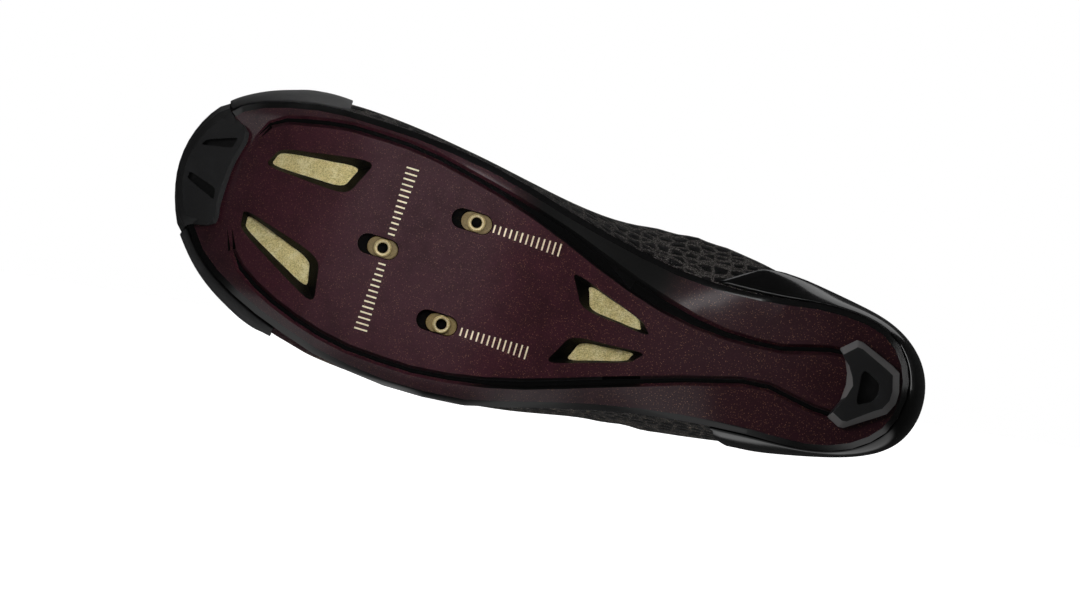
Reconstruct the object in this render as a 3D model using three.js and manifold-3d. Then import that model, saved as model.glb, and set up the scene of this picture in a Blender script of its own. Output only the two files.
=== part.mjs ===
// Right cycling shoe lying on its lateral side, in millimetres.
// The shoe's own frame: x runs from heel to toe, y towards the medial side, z from the sole up.
import * as THREE from 'three';
import { mergeVertices } from 'three/addons/utils/BufferGeometryUtils.js';
import { ConvexHull } from 'three/addons/math/ConvexHull.js';
import Module from 'manifold-3d';

const { clamp, lerp, smoothstep } = THREE.MathUtils;
const wasm = await Module();
wasm.setup();

// Driving sizes of the last
const LENGTH = 286;
const BALL_WIDTH = 91;
const INSTEP_HEIGHT = 83;
const HEEL_HEIGHT = 88;
const TOE_SPRING = 25;

// Outsole
const RIM_HEIGHT = 10;
const RIM_WIDTH = 3.2;
const PLATE = 6;
const GUTTER_WIDTH = 2;
const GUTTER_DEPTH = 2.4;
const PANEL_BEVEL = 1.1;
const LIP = 0.6;

// Upper and what lies on it
const WALL = 2;
const COLLAR_PAD = 2.6;
const COUNTER = 1.8;
const GUARD = 1.8;
const STRAP = 2.2;
const STRAP_WIDTH = 25;
const TONGUE = 4;
const INSOLE = 3;

// Pads under the sole
const HEEL_PAD = 3.7;
const HEEL_PAD_BEVEL = 2.6;
const TOE_PAD = 2.6;
const PAD_SLOT_DEPTH = 1.3;

// Three-bolt cleat mounting
const BOLT_REACH = 30;
const BOLT_SPREAD = 39;
const CLEAT_CENTRE = 0.665;
const CLEAT_OFFSET = -0.058;
const SLOT_WIDTH = 7.5;
const SLOT_LENGTH = 15.4;
const SLOT_DEPTH = 4.8;
const NUT_LENGTH = 11.4;
const NUT_PLATE = 1.8;
const NUT_BOSS = 2.4;
const NUT_RADIUS = 3.6;
const BORE_RADIUS = 2.1;
const BORE_BEVEL = 0.5;

// Clearance between neighbours, and how finely the surfaces are stepped
const GAP = 0.3;
const OVERLAY_LIFT = 0.45;
const SIDE_STEPS = 28;
const CLIMB_STEPS = 3;
const CORNER_STEPS = 4;
const ROUND_STEPS = 16;

// A table with named columns, a row for each section
const table = (columns, ...rows) => rows.map(
  (row) => Object.fromEntries(columns.map((name, index) => [name, row[index]])),
);
const SIDES = ['at', 'inner', 'outer', 'inner_rise', 'outer_rise'];

// Underside of the sole from heel to toe, as a share of the toe spring
const ROCKER = table(
  ['at', 'rise'],
  [0.000, 0.16],
  [0.133, 0.16],
  [0.192, 0.24],
  [0.262, 0.38],
  [0.332, 0.50],
  [0.392, 0.52],
  [0.455, 0.40],
  [0.517, 0.18],
  [0.580, 0.00],
  [0.759, 0.00],
  [0.804, 0.08],
  [0.857, 0.25],
  [0.902, 0.45],
  [0.944, 0.68],
  [1.000, 1.00],
);

// Edge of the outsole. The rises are the rim's, and low is where the rim's lower corner starts
const EDGE = {
  heel: 0.025,
  toe: 0.989,
  rows: table(
    [...SIDES, 'low'],
    [0.000, -0.015, -0.015, 1.00, 1.00, 0.12],
    [0.008, 0.093, -0.143, 1.00, 1.00, 0.12],
    [0.032, 0.190, -0.231, 1.00, 1.00, 0.12],
    [0.072, 0.245, -0.300, 1.00, 1.00, 0.15],
    [0.126, 0.254, -0.332, 1.00, 1.00, 0.20],
    [0.192, 0.226, -0.337, 1.20, 1.00, 0.30],
    [0.264, 0.205, -0.357, 1.70, 1.10, 0.42],
    [0.337, 0.215, -0.389, 1.90, 1.20, 0.45],
    [0.409, 0.252, -0.436, 1.80, 1.30, 0.42],
    [0.482, 0.298, -0.497, 1.40, 1.40, 0.35],
    [0.554, 0.355, -0.556, 1.10, 1.55, 0.28],
    [0.645, 0.409, -0.576, 0.95, 1.60, 0.22],
    [0.736, 0.433, -0.552, 0.90, 1.40, 0.24],
    [0.816, 0.435, -0.488, 0.85, 1.10, 0.28],
    [0.888, 0.403, -0.404, 0.80, 0.90, 0.32],
    [0.946, 0.340, -0.295, 0.75, 0.80, 0.38],
    [0.983, 0.214, -0.143, 0.70, 0.70, 0.40],
    [1.000, 0.033, 0.033, 0.70, 0.70, 0.40],
  ),
};

// Edge of the raised panel in the middle of the sole. The rises widen the gutter beside it, and
// below 1 make it shallower too
const PANEL = {
  heel: 0.070,
  toe: 0.923,
  rows: table(
    SIDES,
    [0.000, -0.033, -0.033, 1.0, 1.0],
    [0.016, 0.044, -0.104, 1.0, 1.0],
    [0.057, 0.084, -0.158, 1.0, 1.0],
    [0.102, 0.057, -0.142, 1.0, 1.0],
    [0.156, 0.020, -0.120, 1.0, 1.0],
    [0.246, 0.010, -0.174, 1.4, 1.0],
    [0.328, 0.040, -0.243, 2.2, 1.1],
    [0.410, 0.102, -0.314, 2.3, 1.2],
    [0.492, 0.188, -0.389, 1.9, 1.2],
    [0.574, 0.263, -0.444, 1.3, 1.1],
    [0.668, 0.325, -0.476, 1.0, 1.0],
    [0.762, 0.367, -0.468, 1.0, 1.0],
    [0.844, 0.370, -0.420, 1.0, 1.0],
    [0.914, 0.343, -0.347, 1.0, 1.0],
    [0.963, 0.307, -0.259, 0.8, 0.8],
    [0.990, 0.209, -0.132, 0.0, 0.0],
    [1.000, 0.033, 0.033, 0.0, 0.0],
  ),
};

// Middle of the panel, where its two halves meet
const MIDDLE = {
  heel: 0.164,
  toe: 0.881,
  rows: table(
    SIDES,
    [0.000, -0.044, -0.044, 0, 0],
    [0.063, -0.053, -0.053, 0, 0],
    [0.185, -0.088, -0.088, 0, 0],
    [0.356, -0.104, -0.104, 0, 0],
    [0.551, -0.099, -0.099, 0, 0],
    [0.766, -0.055, -0.055, 0, 0],
    [0.917, 0.000, 0.000, 0, 0],
    [1.000, 0.033, 0.033, 0, 0],
  ),
};

// Widest line of the upper
const BELLY = {
  heel: 0.008,
  toe: 0.991,
  rows: table(
    SIDES,
    [0.000, -0.032, -0.032, 0.27, 0.27],
    [0.009, 0.097, -0.159, 0.27, 0.27],
    [0.034, 0.187, -0.237, 0.27, 0.27],
    [0.070, 0.246, -0.286, 0.28, 0.28],
    [0.127, 0.277, -0.334, 0.30, 0.34],
    [0.187, 0.301, -0.374, 0.32, 0.38],
    [0.258, 0.345, -0.409, 0.38, 0.40],
    [0.315, 0.367, -0.441, 0.42, 0.40],
    [0.383, 0.351, -0.455, 0.42, 0.40],
    [0.454, 0.334, -0.498, 0.39, 0.39],
    [0.525, 0.364, -0.541, 0.33, 0.40],
    [0.596, 0.400, -0.556, 0.29, 0.40],
    [0.667, 0.432, -0.565, 0.27, 0.35],
    [0.756, 0.464, -0.554, 0.24, 0.28],
    [0.827, 0.470, -0.508, 0.23, 0.23],
    [0.888, 0.437, -0.443, 0.21, 0.21],
    [0.938, 0.376, -0.345, 0.19, 0.19],
    [0.977, 0.269, -0.203, 0.18, 0.18],
    [0.995, 0.154, -0.066, 0.17, 0.17],
    [1.000, 0.049, 0.049, 0.17, 0.17],
  ),
};

// Where the sides turn over to the top
const SHOULDER = {
  heel: 0.012,
  toe: 0.969,
  rows: table(
    SIDES,
    [0.000, -0.027, -0.027, 0.52, 0.52],
    [0.013, 0.088, -0.132, 0.52, 0.52],
    [0.038, 0.165, -0.203, 0.52, 0.52],
    [0.079, 0.234, -0.270, 0.51, 0.51],
    [0.170, 0.289, -0.347, 0.49, 0.49],
    [0.261, 0.323, -0.390, 0.50, 0.50],
    [0.353, 0.330, -0.412, 0.55, 0.55],
    [0.463, 0.308, -0.436, 0.58, 0.59],
    [0.536, 0.316, -0.470, 0.58, 0.59],
    [0.609, 0.341, -0.492, 0.55, 0.56],
    [0.718, 0.379, -0.492, 0.49, 0.50],
    [0.810, 0.399, -0.445, 0.43, 0.43],
    [0.901, 0.363, -0.367, 0.39, 0.39],
    [0.956, 0.269, -0.253, 0.35, 0.35],
    [0.987, 0.154, -0.104, 0.34, 0.34],
    [1.000, 0.044, 0.044, 0.33, 0.33],
  ),
};

// Half way over the top
const CROWN = {
  heel: 0.023,
  toe: 0.916,
  rows: table(
    SIDES,
    [0.000, -0.027, -0.027, 0.75, 0.75],
    [0.022, 0.110, -0.143, 0.74, 0.74],
    [0.072, 0.220, -0.256, 0.72, 0.72],
    [0.170, 0.286, -0.336, 0.65, 0.65],
    [0.268, 0.308, -0.365, 0.61, 0.61],
    [0.366, 0.297, -0.363, 0.65, 0.65],
    [0.483, 0.247, -0.322, 0.77, 0.77],
    [0.562, 0.242, -0.319, 0.79, 0.79],
    [0.640, 0.247, -0.330, 0.75, 0.75],
    [0.757, 0.264, -0.330, 0.65, 0.65],
    [0.855, 0.264, -0.297, 0.58, 0.58],
    [0.933, 0.214, -0.214, 0.52, 0.52],
    [0.980, 0.121, -0.099, 0.47, 0.47],
    [1.000, 0.022, 0.022, 0.45, 0.45],
  ),
};

// Edge of the collar and of the throat in front of it
const BROW = {
  heel: 0.021,
  toe: 0.717,
  rows: table(
    SIDES,
    [0.000, -0.022, -0.022, 0.96, 0.96],
    [0.030, 0.121, -0.148, 0.95, 0.95],
    [0.095, 0.220, -0.256, 0.90, 0.90],
    [0.221, 0.281, -0.327, 0.79, 0.79],
    [0.347, 0.292, -0.343, 0.72, 0.72],
    [0.472, 0.258, -0.314, 0.75, 0.75],
    [0.573, 0.203, -0.259, 0.87, 0.87],
    [0.648, 0.170, -0.222, 0.93, 0.93],
    [0.724, 0.154, -0.203, 0.93, 0.93],
    [0.824, 0.137, -0.181, 0.87, 0.87],
    [0.925, 0.115, -0.148, 0.80, 0.80],
    [0.975, 0.077, -0.104, 0.77, 0.77],
    [1.000, -0.011, -0.011, 0.75, 0.75],
  ),
};

// Crest of the instep, over the throat
const RIDGE = {
  heel: 0.070,
  toe: 0.689,
  rows: table(
    SIDES,
    [0.000, -0.022, -0.022, 1.05, 1.05],
    [0.226, -0.025, -0.025, 0.87, 0.87],
    [0.452, -0.025, -0.025, 0.88, 0.88],
    [0.565, -0.025, -0.025, 0.95, 0.95],
    [0.650, -0.025, -0.025, 0.99, 0.99],
    [0.734, -0.025, -0.025, 0.99, 0.99],
    [0.847, -0.022, -0.022, 0.92, 0.92],
    [0.960, -0.018, -0.018, 0.84, 0.84],
    [1.000, -0.013, -0.013, 0.80, 0.80],
  ),
};

// Tapered openings through the plate: corners at its underside, then at its inside
const VENTS = [
  {
    mouth: [[0.892, 0.129], [0.878, 0.214], [0.756, 0.275], [0.780, 0.108]],
    window: [[0.885, 0.138], [0.877, 0.200], [0.773, 0.235], [0.788, 0.134]],
  },
  {
    mouth: [[0.901, -0.058], [0.790, -0.160], [0.779, -0.356], [0.898, -0.145]],
    window: [[0.894, -0.075], [0.801, -0.178], [0.794, -0.296], [0.893, -0.133]],
  },
  {
    mouth: [[0.479, 0.089], [0.374, -0.024], [0.359, -0.077], [0.454, -0.049]],
    window: [[0.454, 0.055], [0.379, -0.020], [0.372, -0.065], [0.443, -0.043]],
  },
  {
    mouth: [[0.479, -0.302], [0.456, -0.163], [0.358, -0.144], [0.374, -0.199]],
    window: [[0.454, -0.265], [0.442, -0.176], [0.372, -0.156], [0.379, -0.197]],
  },
];
const VENT_ROUNDING = 0.22;

// Cleat bolts: ahead is a share of the reach, aside a share of the spread
const BOLTS = [
  { name: 'front', ahead: 0.5, aside: 0.02 },
  { name: 'medial', ahead: -0.5, aside: 0.5 },
  { name: 'lateral', ahead: -0.45, aside: -0.5 },
];

// Heel pad's outline, and the recess in it
const HEEL_PAD_OUTLINE = [
  [0.125, 0.100], [0.107, 0.153], [0.099, 0.152], [0.053, 0.095], [0.043, 0.076], [0.036, 0.000],
  [0.036, -0.047], [0.043, -0.095], [0.053, -0.118], [0.091, -0.200], [0.098, -0.201], [0.115, -0.175],
  [0.105, -0.095], [0.104, -0.032], [0.107, 0.015], [0.114, 0.063],
];
const HEEL_RECESS = [
  [0.089, 0.052], [0.064, 0.014], [0.061, -0.034], [0.067, -0.070], [0.084, -0.098],
];
const HEEL_RECESS_DEPTH = 2.2;
const HEEL_RECESS_ROUNDING = 0.25;
const HEEL_PAD_SIDE = 0.25;

// Rear edge of the toe pad, from its medial joint to its lateral one
const TOE_PAD_REAR = table(
  ['share', 'at', 'across'],
  [0.00, 0.942, 0.270],
  [0.12, 0.925, 0.245],
  [0.20, 0.921, 0.215],
  [0.45, 0.930, 0.070],
  [0.65, 0.931, -0.063],
  [0.82, 0.928, -0.137],
  [0.90, 0.933, -0.160],
  [1.00, 0.951, -0.176],
);
const TOE_PAD_ENDS = { medial: 0.953, lateral: 0.964 };
const TOE_PAD_TOP = 1.3;
const TOE_PAD_EDGES = { rear: 0.35, top: 0.6, ends: 0.5 };
const TOE_PAD_ROWS = [0, 0.12, 0.6];
const TOE_PAD_SLOT_ROUNDING = 0.15;
const TOE_PAD_SLOTS = [
  [[0.973, 0.160], [0.934, 0.205], [0.938, 0.158], [0.977, 0.135]],
  [[0.981, 0.020], [0.944, -0.015], [0.941, -0.062], [0.982, -0.008]],
];

// How high the guard round the toe climbs, from its medial end to its lateral one
const GUARD_ENDS = { medial: 0.807, lateral: 0.820 };
const GUARD_CORNER = 0.02;
const GUARD_EDGE = 0.55;
const GUARD_TOP = table(
  ['share', 'climb'],
  [0.00, 0.75],
  [0.06, 1.15],
  [0.30, 1.55],
  [0.50, 1.80],
  [0.70, 1.55],
  [0.94, 1.15],
  [1.00, 0.75],
);

// Front edge of the heel counter at each climb
const COUNTER_FRONT = table(
  ['climb', 'medial', 'lateral'],
  [0.05, 0.297, 0.254],
  [0.50, 0.262, 0.243],
  [1.00, 0.222, 0.226],
  [1.60, 0.185, 0.190],
  [2.30, 0.140, 0.145],
  [2.90, 0.085, 0.090],
  [3.20, 0.040, 0.042],
);
const COUNTER_EDGE = 0.45;

// Where the collar's padding swells, as climbs and as stations along the shoe
const COLLAR_SWELL = { from: 2.6, full: 3.6, fades: 0.31, gone: 0.38, brim: 0.5 };

// Straps over the throat: where each crosses and how far down each side it reaches
const STRAPS = [
  { name: 'strap_instep', at: 0.502, medial: 7, lateral: 10 },
  { name: 'strap_forefoot', at: 0.626, medial: 7, lateral: 10 },
];
const STRAP_EDGE = 0.6;
const STRAP_STEPS = 3;

// Tongue: where it starts behind the throat, and how many climb steps it tucks under each side
const TONGUE_START = 0.400;
const TONGUE_TUCK = 2;
const TONGUE_EDGE = 0.4;

const COLOURS = {
  plum: { color: 0x38202b, roughness: 0.28, metalness: 0.1 },
  guard: { color: 0x2b2c2e, roughness: 0.6, metalness: 0 },
  pad: { color: 0x26272a, roughness: 0.7, metalness: 0 },
  gloss: { color: 0x0c0c0e, roughness: 0.15, metalness: 0 },
  knit: { color: 0x1b1a1a, roughness: 0.9, metalness: 0 },
  brass: { color: 0x8c7841, roughness: 0.35, metalness: 0.9 },
  gold: { color: 0xc0b46e, roughness: 0.8, metalness: 0.2 },
  strap: { color: 0x141414, roughness: 0.75, metalness: 0 },
};

// Places along a line crowd towards heel and toe, so that both ends come out round
const turnOf = (share) => Math.acos(1 - 2 * clamp(share, 0, 1)) / Math.PI;
const shareOf = (turn) => (1 - Math.cos(Math.PI * turn)) / 2;

// Smooth curve through one column of a table, without overshoot between its rows
function curve(spots, values) {
  const secants = values.slice(1).map((value, i) => (value - values[i]) / (spots[i + 1] - spots[i]));
  const slopes = values.map((_, i) => {
    const before = secants[Math.max(i - 1, 0)];
    const after = secants[Math.min(i, secants.length - 1)];
    return before * after > 0 ? (2 * before * after) / (before + after) : 0;
  });
  return (spot) => {
    const found = spots.findLastIndex((start) => start <= spot);
    const i = clamp(found, 0, spots.length - 2);
    const width = spots[i + 1] - spots[i];
    const t = clamp((spot - spots[i]) / width, 0, 1);
    const away = t * t * (3 - 2 * t);
    const leave = t * (1 - t) * (1 - t) * width * slopes[i];
    const arrive = t * t * (t - 1) * width * slopes[i + 1];
    return lerp(values[i], values[i + 1], away) + leave + arrive;
  };
}

const column = (rows, name) => rows.map((row) => row[name]);
const along = (rows, name) => curve(column(rows, 'at').map(turnOf), column(rows, name));
const between = (rows, key, name) => curve(column(rows, key), column(rows, name));

// Height of the sole's underside, and how tall the last is above it
const rockerRise = along(ROCKER, 'rise');
const rocker = (x) => TOE_SPRING * rockerRise(turnOf(x / LENGTH));
const stature = (x) => lerp(HEEL_HEIGHT, INSTEP_HEIGHT, smoothstep(x / LENGTH, 0.15, 0.45));

// A closed line round the shoe. Lap 0 is the heel and 0.5 the toe, with the medial side first
function makeLine({ heel, toe, rows }, heightAt) {
  const value = Object.fromEntries(Object.keys(rows[0]).map((name) => [name, along(rows, name)]));
  const line = (lap) => {
    const round = lap - Math.floor(lap);
    const medial = round <= 0.5;
    const turn = medial ? 2 * round : 2 - 2 * round;
    const x = LENGTH * lerp(heel, toe, shareOf(turn));
    const side = medial ? 'inner' : 'outer';
    const rise = value[`${side}_rise`](turn);
    return new THREE.Vector3(x, BALL_WIDTH * value[side](turn), rocker(x) + heightAt(x, rise));
  };
  line.value = (name, lap) => value[name](1 - Math.abs(1 - 2 * (lap - Math.floor(lap))));
  return line;
}

const tall = (x, rise) => rise * stature(x);
const edge = makeLine(EDGE, (x, rise) => rise * RIM_HEIGHT);
const panel = makeLine(PANEL, () => 0);
const middle = makeLine(MIDDLE, () => 0);

// The line moved out by a distance, in plan
const LAP_STEP = 0.002;
function moved(line, lap, out) {
  const ahead = line(lap + LAP_STEP).sub(line(lap - LAP_STEP));
  const away = new THREE.Vector3(-ahead.y, ahead.x, 0).normalize();
  return line(lap).addScaledVector(away, out);
}

// The upper's bottom edge stands on the rim of the outsole
const FEATHER_INSET = 0.7;
const feather = (lap) => moved(edge, lap, -FEATHER_INSET).add(new THREE.Vector3(0, 0, GAP));
const [belly, shoulder, crown, brow, ridge] = [BELLY, SHOULDER, CROWN, BROW, RIDGE]
  .map((section) => makeLine(section, tall));
const LEVELS = [feather, belly, shoulder, crown, brow];
const BROW_CLIMB = 4;
const RIDGE_CLIMB = 5;

// A rib climbs from the feather line on one side over the ridge and down the other
const ribs = new Map();
function rib(lap) {
  const key = lap.toFixed(6);
  if (!ribs.has(key)) {
    const near = LEVELS.map((line) => line(lap));
    const far = LEVELS.map((line) => line(1 - lap)).reverse();
    ribs.set(key, new THREE.CatmullRomCurve3([...near, ridge(lap), ...far], false, 'centripetal'));
  }
  return ribs.get(key);
}
const bare = (lap, climb) => rib(lap).getPoint(clamp(climb / (2 * RIDGE_CLIMB), 0, 1));

// Point of the last's surface, lifted off it by a distance
const CLIMB_STEP = 0.02;
const RIDGE_MARGIN = 0.1;
function normalAt(lap, climb) {
  const ahead = bare(lap + LAP_STEP, climb).sub(bare(lap - LAP_STEP, climb));
  const up = bare(lap, climb + CLIMB_STEP).sub(bare(lap, climb - CLIMB_STEP));
  const out = up.cross(ahead);
  return out.length() < 1e-7 ? normalAt(lap, climb - RIDGE_MARGIN) : out.normalize();
}
const skin = (lap, climb, lift) => bare(lap, climb).addScaledVector(normalAt(lap, climb), lift);

// Lap at which a climb passes a station along the shoe
function lapAt(x, climb, medial = true) {
  const heel = bare(0, climb).x;
  const toe = bare(0.5, climb).x;
  const turn = turnOf((x - heel) / (toe - heel));
  return medial ? turn / 2 : 1 - turn / 2;
}

const steps = (count, from = 0, to = 1) => (
  Array.from({ length: count + 1 }, (_, i) => lerp(from, to, i / count))
);

// Closed, outward-facing geometry from points and triangles
function closed(points, triangles) {
  const geometry = new THREE.BufferGeometry();
  geometry.setAttribute('position', new THREE.Float32BufferAttribute(points.flatMap((p) => p.toArray()), 3));
  geometry.setIndex(triangles.flat());
  return tidied(geometry);
}

function tidied(source) {
  const plain = source.clone();
  plain.deleteAttribute('normal');
  plain.deleteAttribute('uv');
  const merged = mergeVertices(plain, 1e-3);
  const index = Array.from(merged.index.array);
  const kept = [];
  for (let i = 0; i < index.length; i += 3) {
    const [a, b, c] = index.slice(i, i + 3);
    if (a !== b && b !== c && c !== a) kept.push(a, b, c);
  }
  merged.setIndex(volumeOf(merged.attributes.position, kept) < 0 ? kept.reverse() : kept);
  return merged;
}

function volumeOf(position, index) {
  const corner = (i) => new THREE.Vector3().fromBufferAttribute(position, index[i]);
  let sum = 0;
  for (let i = 0; i < index.length; i += 3) sum += corner(i).dot(corner(i + 1).cross(corner(i + 2)));
  return sum / 6;
}

// Two triangles between four points of a grid, split along the shorter diagonal
function quad(points, a, b, c, d) {
  const across = points[a].distanceTo(points[c]) <= points[b].distanceTo(points[d]);
  return across ? [[a, b, c], [a, c, d]] : [[a, b, d], [b, c, d]];
}

// Solid from closed rings, each joined to the next. Looped joins the last ring to the first
function ringSolid(rings, looped = false) {
  const count = rings[0].length;
  const points = rings.flat();
  const triangles = [];
  const joins = looped ? rings.length : rings.length - 1;
  for (let r = 0; r < joins; r += 1) {
    const here = r * count;
    const next = ((r + 1) % rings.length) * count;
    for (let i = 0; i < count; i += 1) {
      const j = (i + 1) % count;
      triangles.push(...quad(points, here + i, here + j, next + j, next + i));
    }
  }
  return closed(points, triangles);
}

// Solid between two grids of points, over the cells that are kept and walled where they end.
// A folded one closes on itself at its last row
function shellSolid(outside, inside, { folded = false, keep = () => true } = {}) {
  const rows = outside.length - 1;
  const columns = outside[0].length - 1;
  const points = [...outside.flat(), ...inside.flat()];
  const back = points.length / 2;
  const at = (r, c) => r * (columns + 1) + c;
  const has = (r, c) => r >= 0 && c >= 0 && r < rows && c < columns && keep(r, c);
  const triangles = [];
  for (let r = 0; r < rows; r += 1) {
    for (let c = 0; c < columns; c += 1) {
      if (!has(r, c)) continue;
      const corners = [at(r, c), at(r, c + 1), at(r + 1, c + 1), at(r + 1, c)];
      const under = corners.map((i) => i + back);
      triangles.push(...quad(points, ...corners), ...quad(points, ...under).map((t) => t.reverse()));
      const beside = [has(r - 1, c), has(r, c + 1), has(r + 1, c) || (folded && r + 1 === rows), has(r, c - 1)];
      beside.forEach((covered, k) => {
        const [a, b] = [corners[k], corners[(k + 1) % 4]];
        if (!covered) triangles.push(...quad(points, b, a, a + back, b + back));
      });
    }
  }
  return closed(points, triangles);
}

// Joins and cuts
function toManifold(geometry) {
  const plain = tidied(geometry);
  return new wasm.Manifold(new wasm.Mesh({
    numProp: 3,
    vertProperties: Float32Array.from(plain.attributes.position.array),
    triVerts: Uint32Array.from(plain.index.array),
  }));
}

function fromManifold(manifold) {
  const mesh = manifold.getMesh();
  const geometry = new THREE.BufferGeometry();
  geometry.setAttribute('position', new THREE.BufferAttribute(Float32Array.from(mesh.vertProperties), 3));
  geometry.setIndex(Array.from(mesh.triVerts));
  return tidied(geometry);
}

const cut = (body, ...tools) => fromManifold(
  tools.reduce((left, tool) => left.subtract(toManifold(tool)), toManifold(body)),
);
const joined = (...bodies) => fromManifold(
  bodies.slice(1).reduce((sum, body) => sum.add(toManifold(body)), toManifold(bodies[0])),
);

// Outline with rounded corners, as points in plan
const placed = ([at, across]) => new THREE.Vector2(at * LENGTH, across * BALL_WIDTH);
function rounded(corners, share) {
  const count = corners.length;
  return corners.flatMap((corner, i) => {
    const from = corner.clone().lerp(corners[(i + count - 1) % count], share);
    const to = corner.clone().lerp(corners[(i + 1) % count], share);
    const bend = new THREE.QuadraticBezierCurve(from, corner, to);
    return bend.getPoints(CORNER_STEPS);
  });
}

// Solid between outlines of like points at their own heights
function loft(outlines, heightOf) {
  const rings = outlines.map(({ points, z }) => (
    points.map((p) => new THREE.Vector3(p.x, p.y, heightOf(p.x) + z))
  ));
  const cap = (ring) => {
    const centre = ring.reduce((sum, p) => sum.add(p), new THREE.Vector3()).divideScalar(ring.length);
    return ring.map(() => centre);
  };
  return ringSolid([cap(rings[0]), ...rings, cap(rings.at(-1))]);
}

const level = () => 0;
const REACH = 1;

// Outsole: a plate with a raised panel between two gutters, side wings, and a rim
const WING_INSET = 2.2;
const RIM_ROUND = 0.4;
const WIDEST = 0.7;
const FLOOR_SLOPE = 1.6;
const GUTTER_FLOOR = 0.75;
const lapSteps = steps(2 * SIDE_STEPS).slice(0, -1);
const overClimbs = steps(2 * RIDGE_CLIMB * CLIMB_STEPS, 0, 2 * RIDGE_CLIMB);

const soleRim = (lap, inset, share) => {
  const point = moved(edge, lap, -inset);
  const rim = edge(lap).z - rocker(edge(lap).x);
  point.z = rocker(point.x) + rim * share;
  return point;
};
const lowShare = (lap) => edge.value('low', lap);
const gutterRise = (lap) => panel.value(lap <= 0.5 ? 'inner_rise' : 'outer_rise', lap);
const gutter = (lap) => GUTTER_WIDTH * gutterRise(lap);
const gutterShare = (lap) => Math.min(gutterRise(lap), 1);
const raised = (point, height) => point.setZ(rocker(point.x) + height);

function soleFloor(lap, inset) {
  const point = moved(edge, lap, -(RIM_WIDTH + FLOOR_SLOPE + inset));
  const rim = edge(lap).z - rocker(edge(lap).x);
  return raised(point, Math.max(PLATE, rim * lowShare(lap) + PLATE / 2));
}

function outsole() {
  const halfWay = (lap) => panel(lap).lerp(middle(lap), 0.5);
  const rings = [
    (lap) => raised(middle(lap), 0),
    (lap) => raised(halfWay(lap), 0),
    (lap) => raised(moved(panel, lap, -PANEL_BEVEL), 0),
    (lap) => raised(panel(lap), GUTTER_DEPTH * gutterShare(lap)),
    (lap) => raised(moved(panel, lap, gutter(lap) * GUTTER_FLOOR), GUTTER_DEPTH * gutterShare(lap)),
    (lap) => raised(moved(panel, lap, gutter(lap) + LIP), LIP * gutterShare(lap)),
    (lap) => soleRim(lap, WING_INSET, lowShare(lap)),
    (lap) => soleRim(lap, 0, lerp(lowShare(lap), WIDEST, 0.5)),
    (lap) => soleRim(lap, 0, WIDEST),
    (lap) => soleRim(lap, RIM_ROUND, 1),
    (lap) => soleRim(lap, RIM_WIDTH, 1),
    (lap) => soleFloor(lap, 0),
    (lap) => raised(panel(lap), PLATE),
    (lap) => raised(middle(lap), PLATE),
  ];
  const plate = ringSolid(rings.map((ring) => lapSteps.map(ring)));
  const vents = VENTS.map(({ mouth, window }) => {
    const low = rounded(mouth.map(placed), VENT_ROUNDING);
    const high = rounded(window.map(placed), VENT_ROUNDING);
    const over = (share) => low.map((p, i) => p.clone().lerp(high[i], share));
    const rise = REACH / PLATE;
    return loft([{ points: over(-rise), z: -REACH }, { points: over(1 + rise), z: PLATE + REACH }], rocker);
  });
  return cut(plate, ...vents, ...BOLTS.map(slot));
}

// Cleat slots and the threaded inserts that slide in them
const boltPlace = ({ ahead, aside }) => new THREE.Vector2(
  CLEAT_CENTRE * LENGTH + ahead * BOLT_REACH,
  CLEAT_OFFSET * BALL_WIDTH + aside * BOLT_SPREAD,
);

function stadium(length, width, depth) {
  const radius = width / 2;
  const reach = length / 2 - radius;
  const shape = new THREE.Shape();
  shape.absarc(reach, 0, radius, -Math.PI / 2, Math.PI / 2);
  shape.absarc(-reach, 0, radius, Math.PI / 2, 1.5 * Math.PI);
  return new THREE.ExtrudeGeometry(shape, { depth, bevelEnabled: false, curveSegments: ROUND_STEPS / 2 });
}

function slot(bolt) {
  const place = boltPlace(bolt);
  const nutFront = place.x + NUT_LENGTH / 2;
  const heelEnd = nutFront - NUT_LENGTH - GAP;
  return stadium(SLOT_LENGTH, SLOT_WIDTH, SLOT_DEPTH + REACH)
    .translate(heelEnd + SLOT_LENGTH / 2, place.y, rocker(place.x) - REACH);
}

function cleatInsert(bolt) {
  const place = boltPlace(bolt);
  const base = stadium(NUT_LENGTH, SLOT_WIDTH - 2 * GAP, NUT_PLATE);
  base.translate(0, 0, SLOT_DEPTH - GAP - NUT_PLATE);
  const top = SLOT_DEPTH - GAP - NUT_PLATE - NUT_BOSS;
  const boss = new THREE.LatheGeometry([
    new THREE.Vector2(0, top),
    new THREE.Vector2(NUT_RADIUS - BORE_BEVEL, top),
    new THREE.Vector2(NUT_RADIUS, top + BORE_BEVEL),
    new THREE.Vector2(NUT_RADIUS, top + NUT_BOSS + NUT_PLATE / 2),
    new THREE.Vector2(0, top + NUT_BOSS + NUT_PLATE / 2),
  ], ROUND_STEPS).rotateX(Math.PI / 2);
  const bore = new THREE.LatheGeometry([
    new THREE.Vector2(0, top - REACH),
    new THREE.Vector2(BORE_RADIUS + BORE_BEVEL + REACH, top - REACH),
    new THREE.Vector2(BORE_RADIUS, top + BORE_BEVEL),
    new THREE.Vector2(BORE_RADIUS, SLOT_DEPTH + REACH),
    new THREE.Vector2(0, SLOT_DEPTH + REACH),
  ], ROUND_STEPS).rotateX(Math.PI / 2);
  return cut(joined(base, boss), bore).translate(place.x, place.y, rocker(place.x));
}

// Upper: one hollow wall from the feather line to the collar and throat, padded at the collar
function wallAt(lap, climb) {
  const x = bare(lap, climb).x / LENGTH;
  const { from, full, fades, gone, brim } = COLLAR_SWELL;
  const padded = smoothstep(climb, from, full) * (1 - smoothstep(x, fades, gone));
  return WALL + COLLAR_PAD * padded * lerp(1, brim, smoothstep(climb, full, BROW_CLIMB));
}

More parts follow.
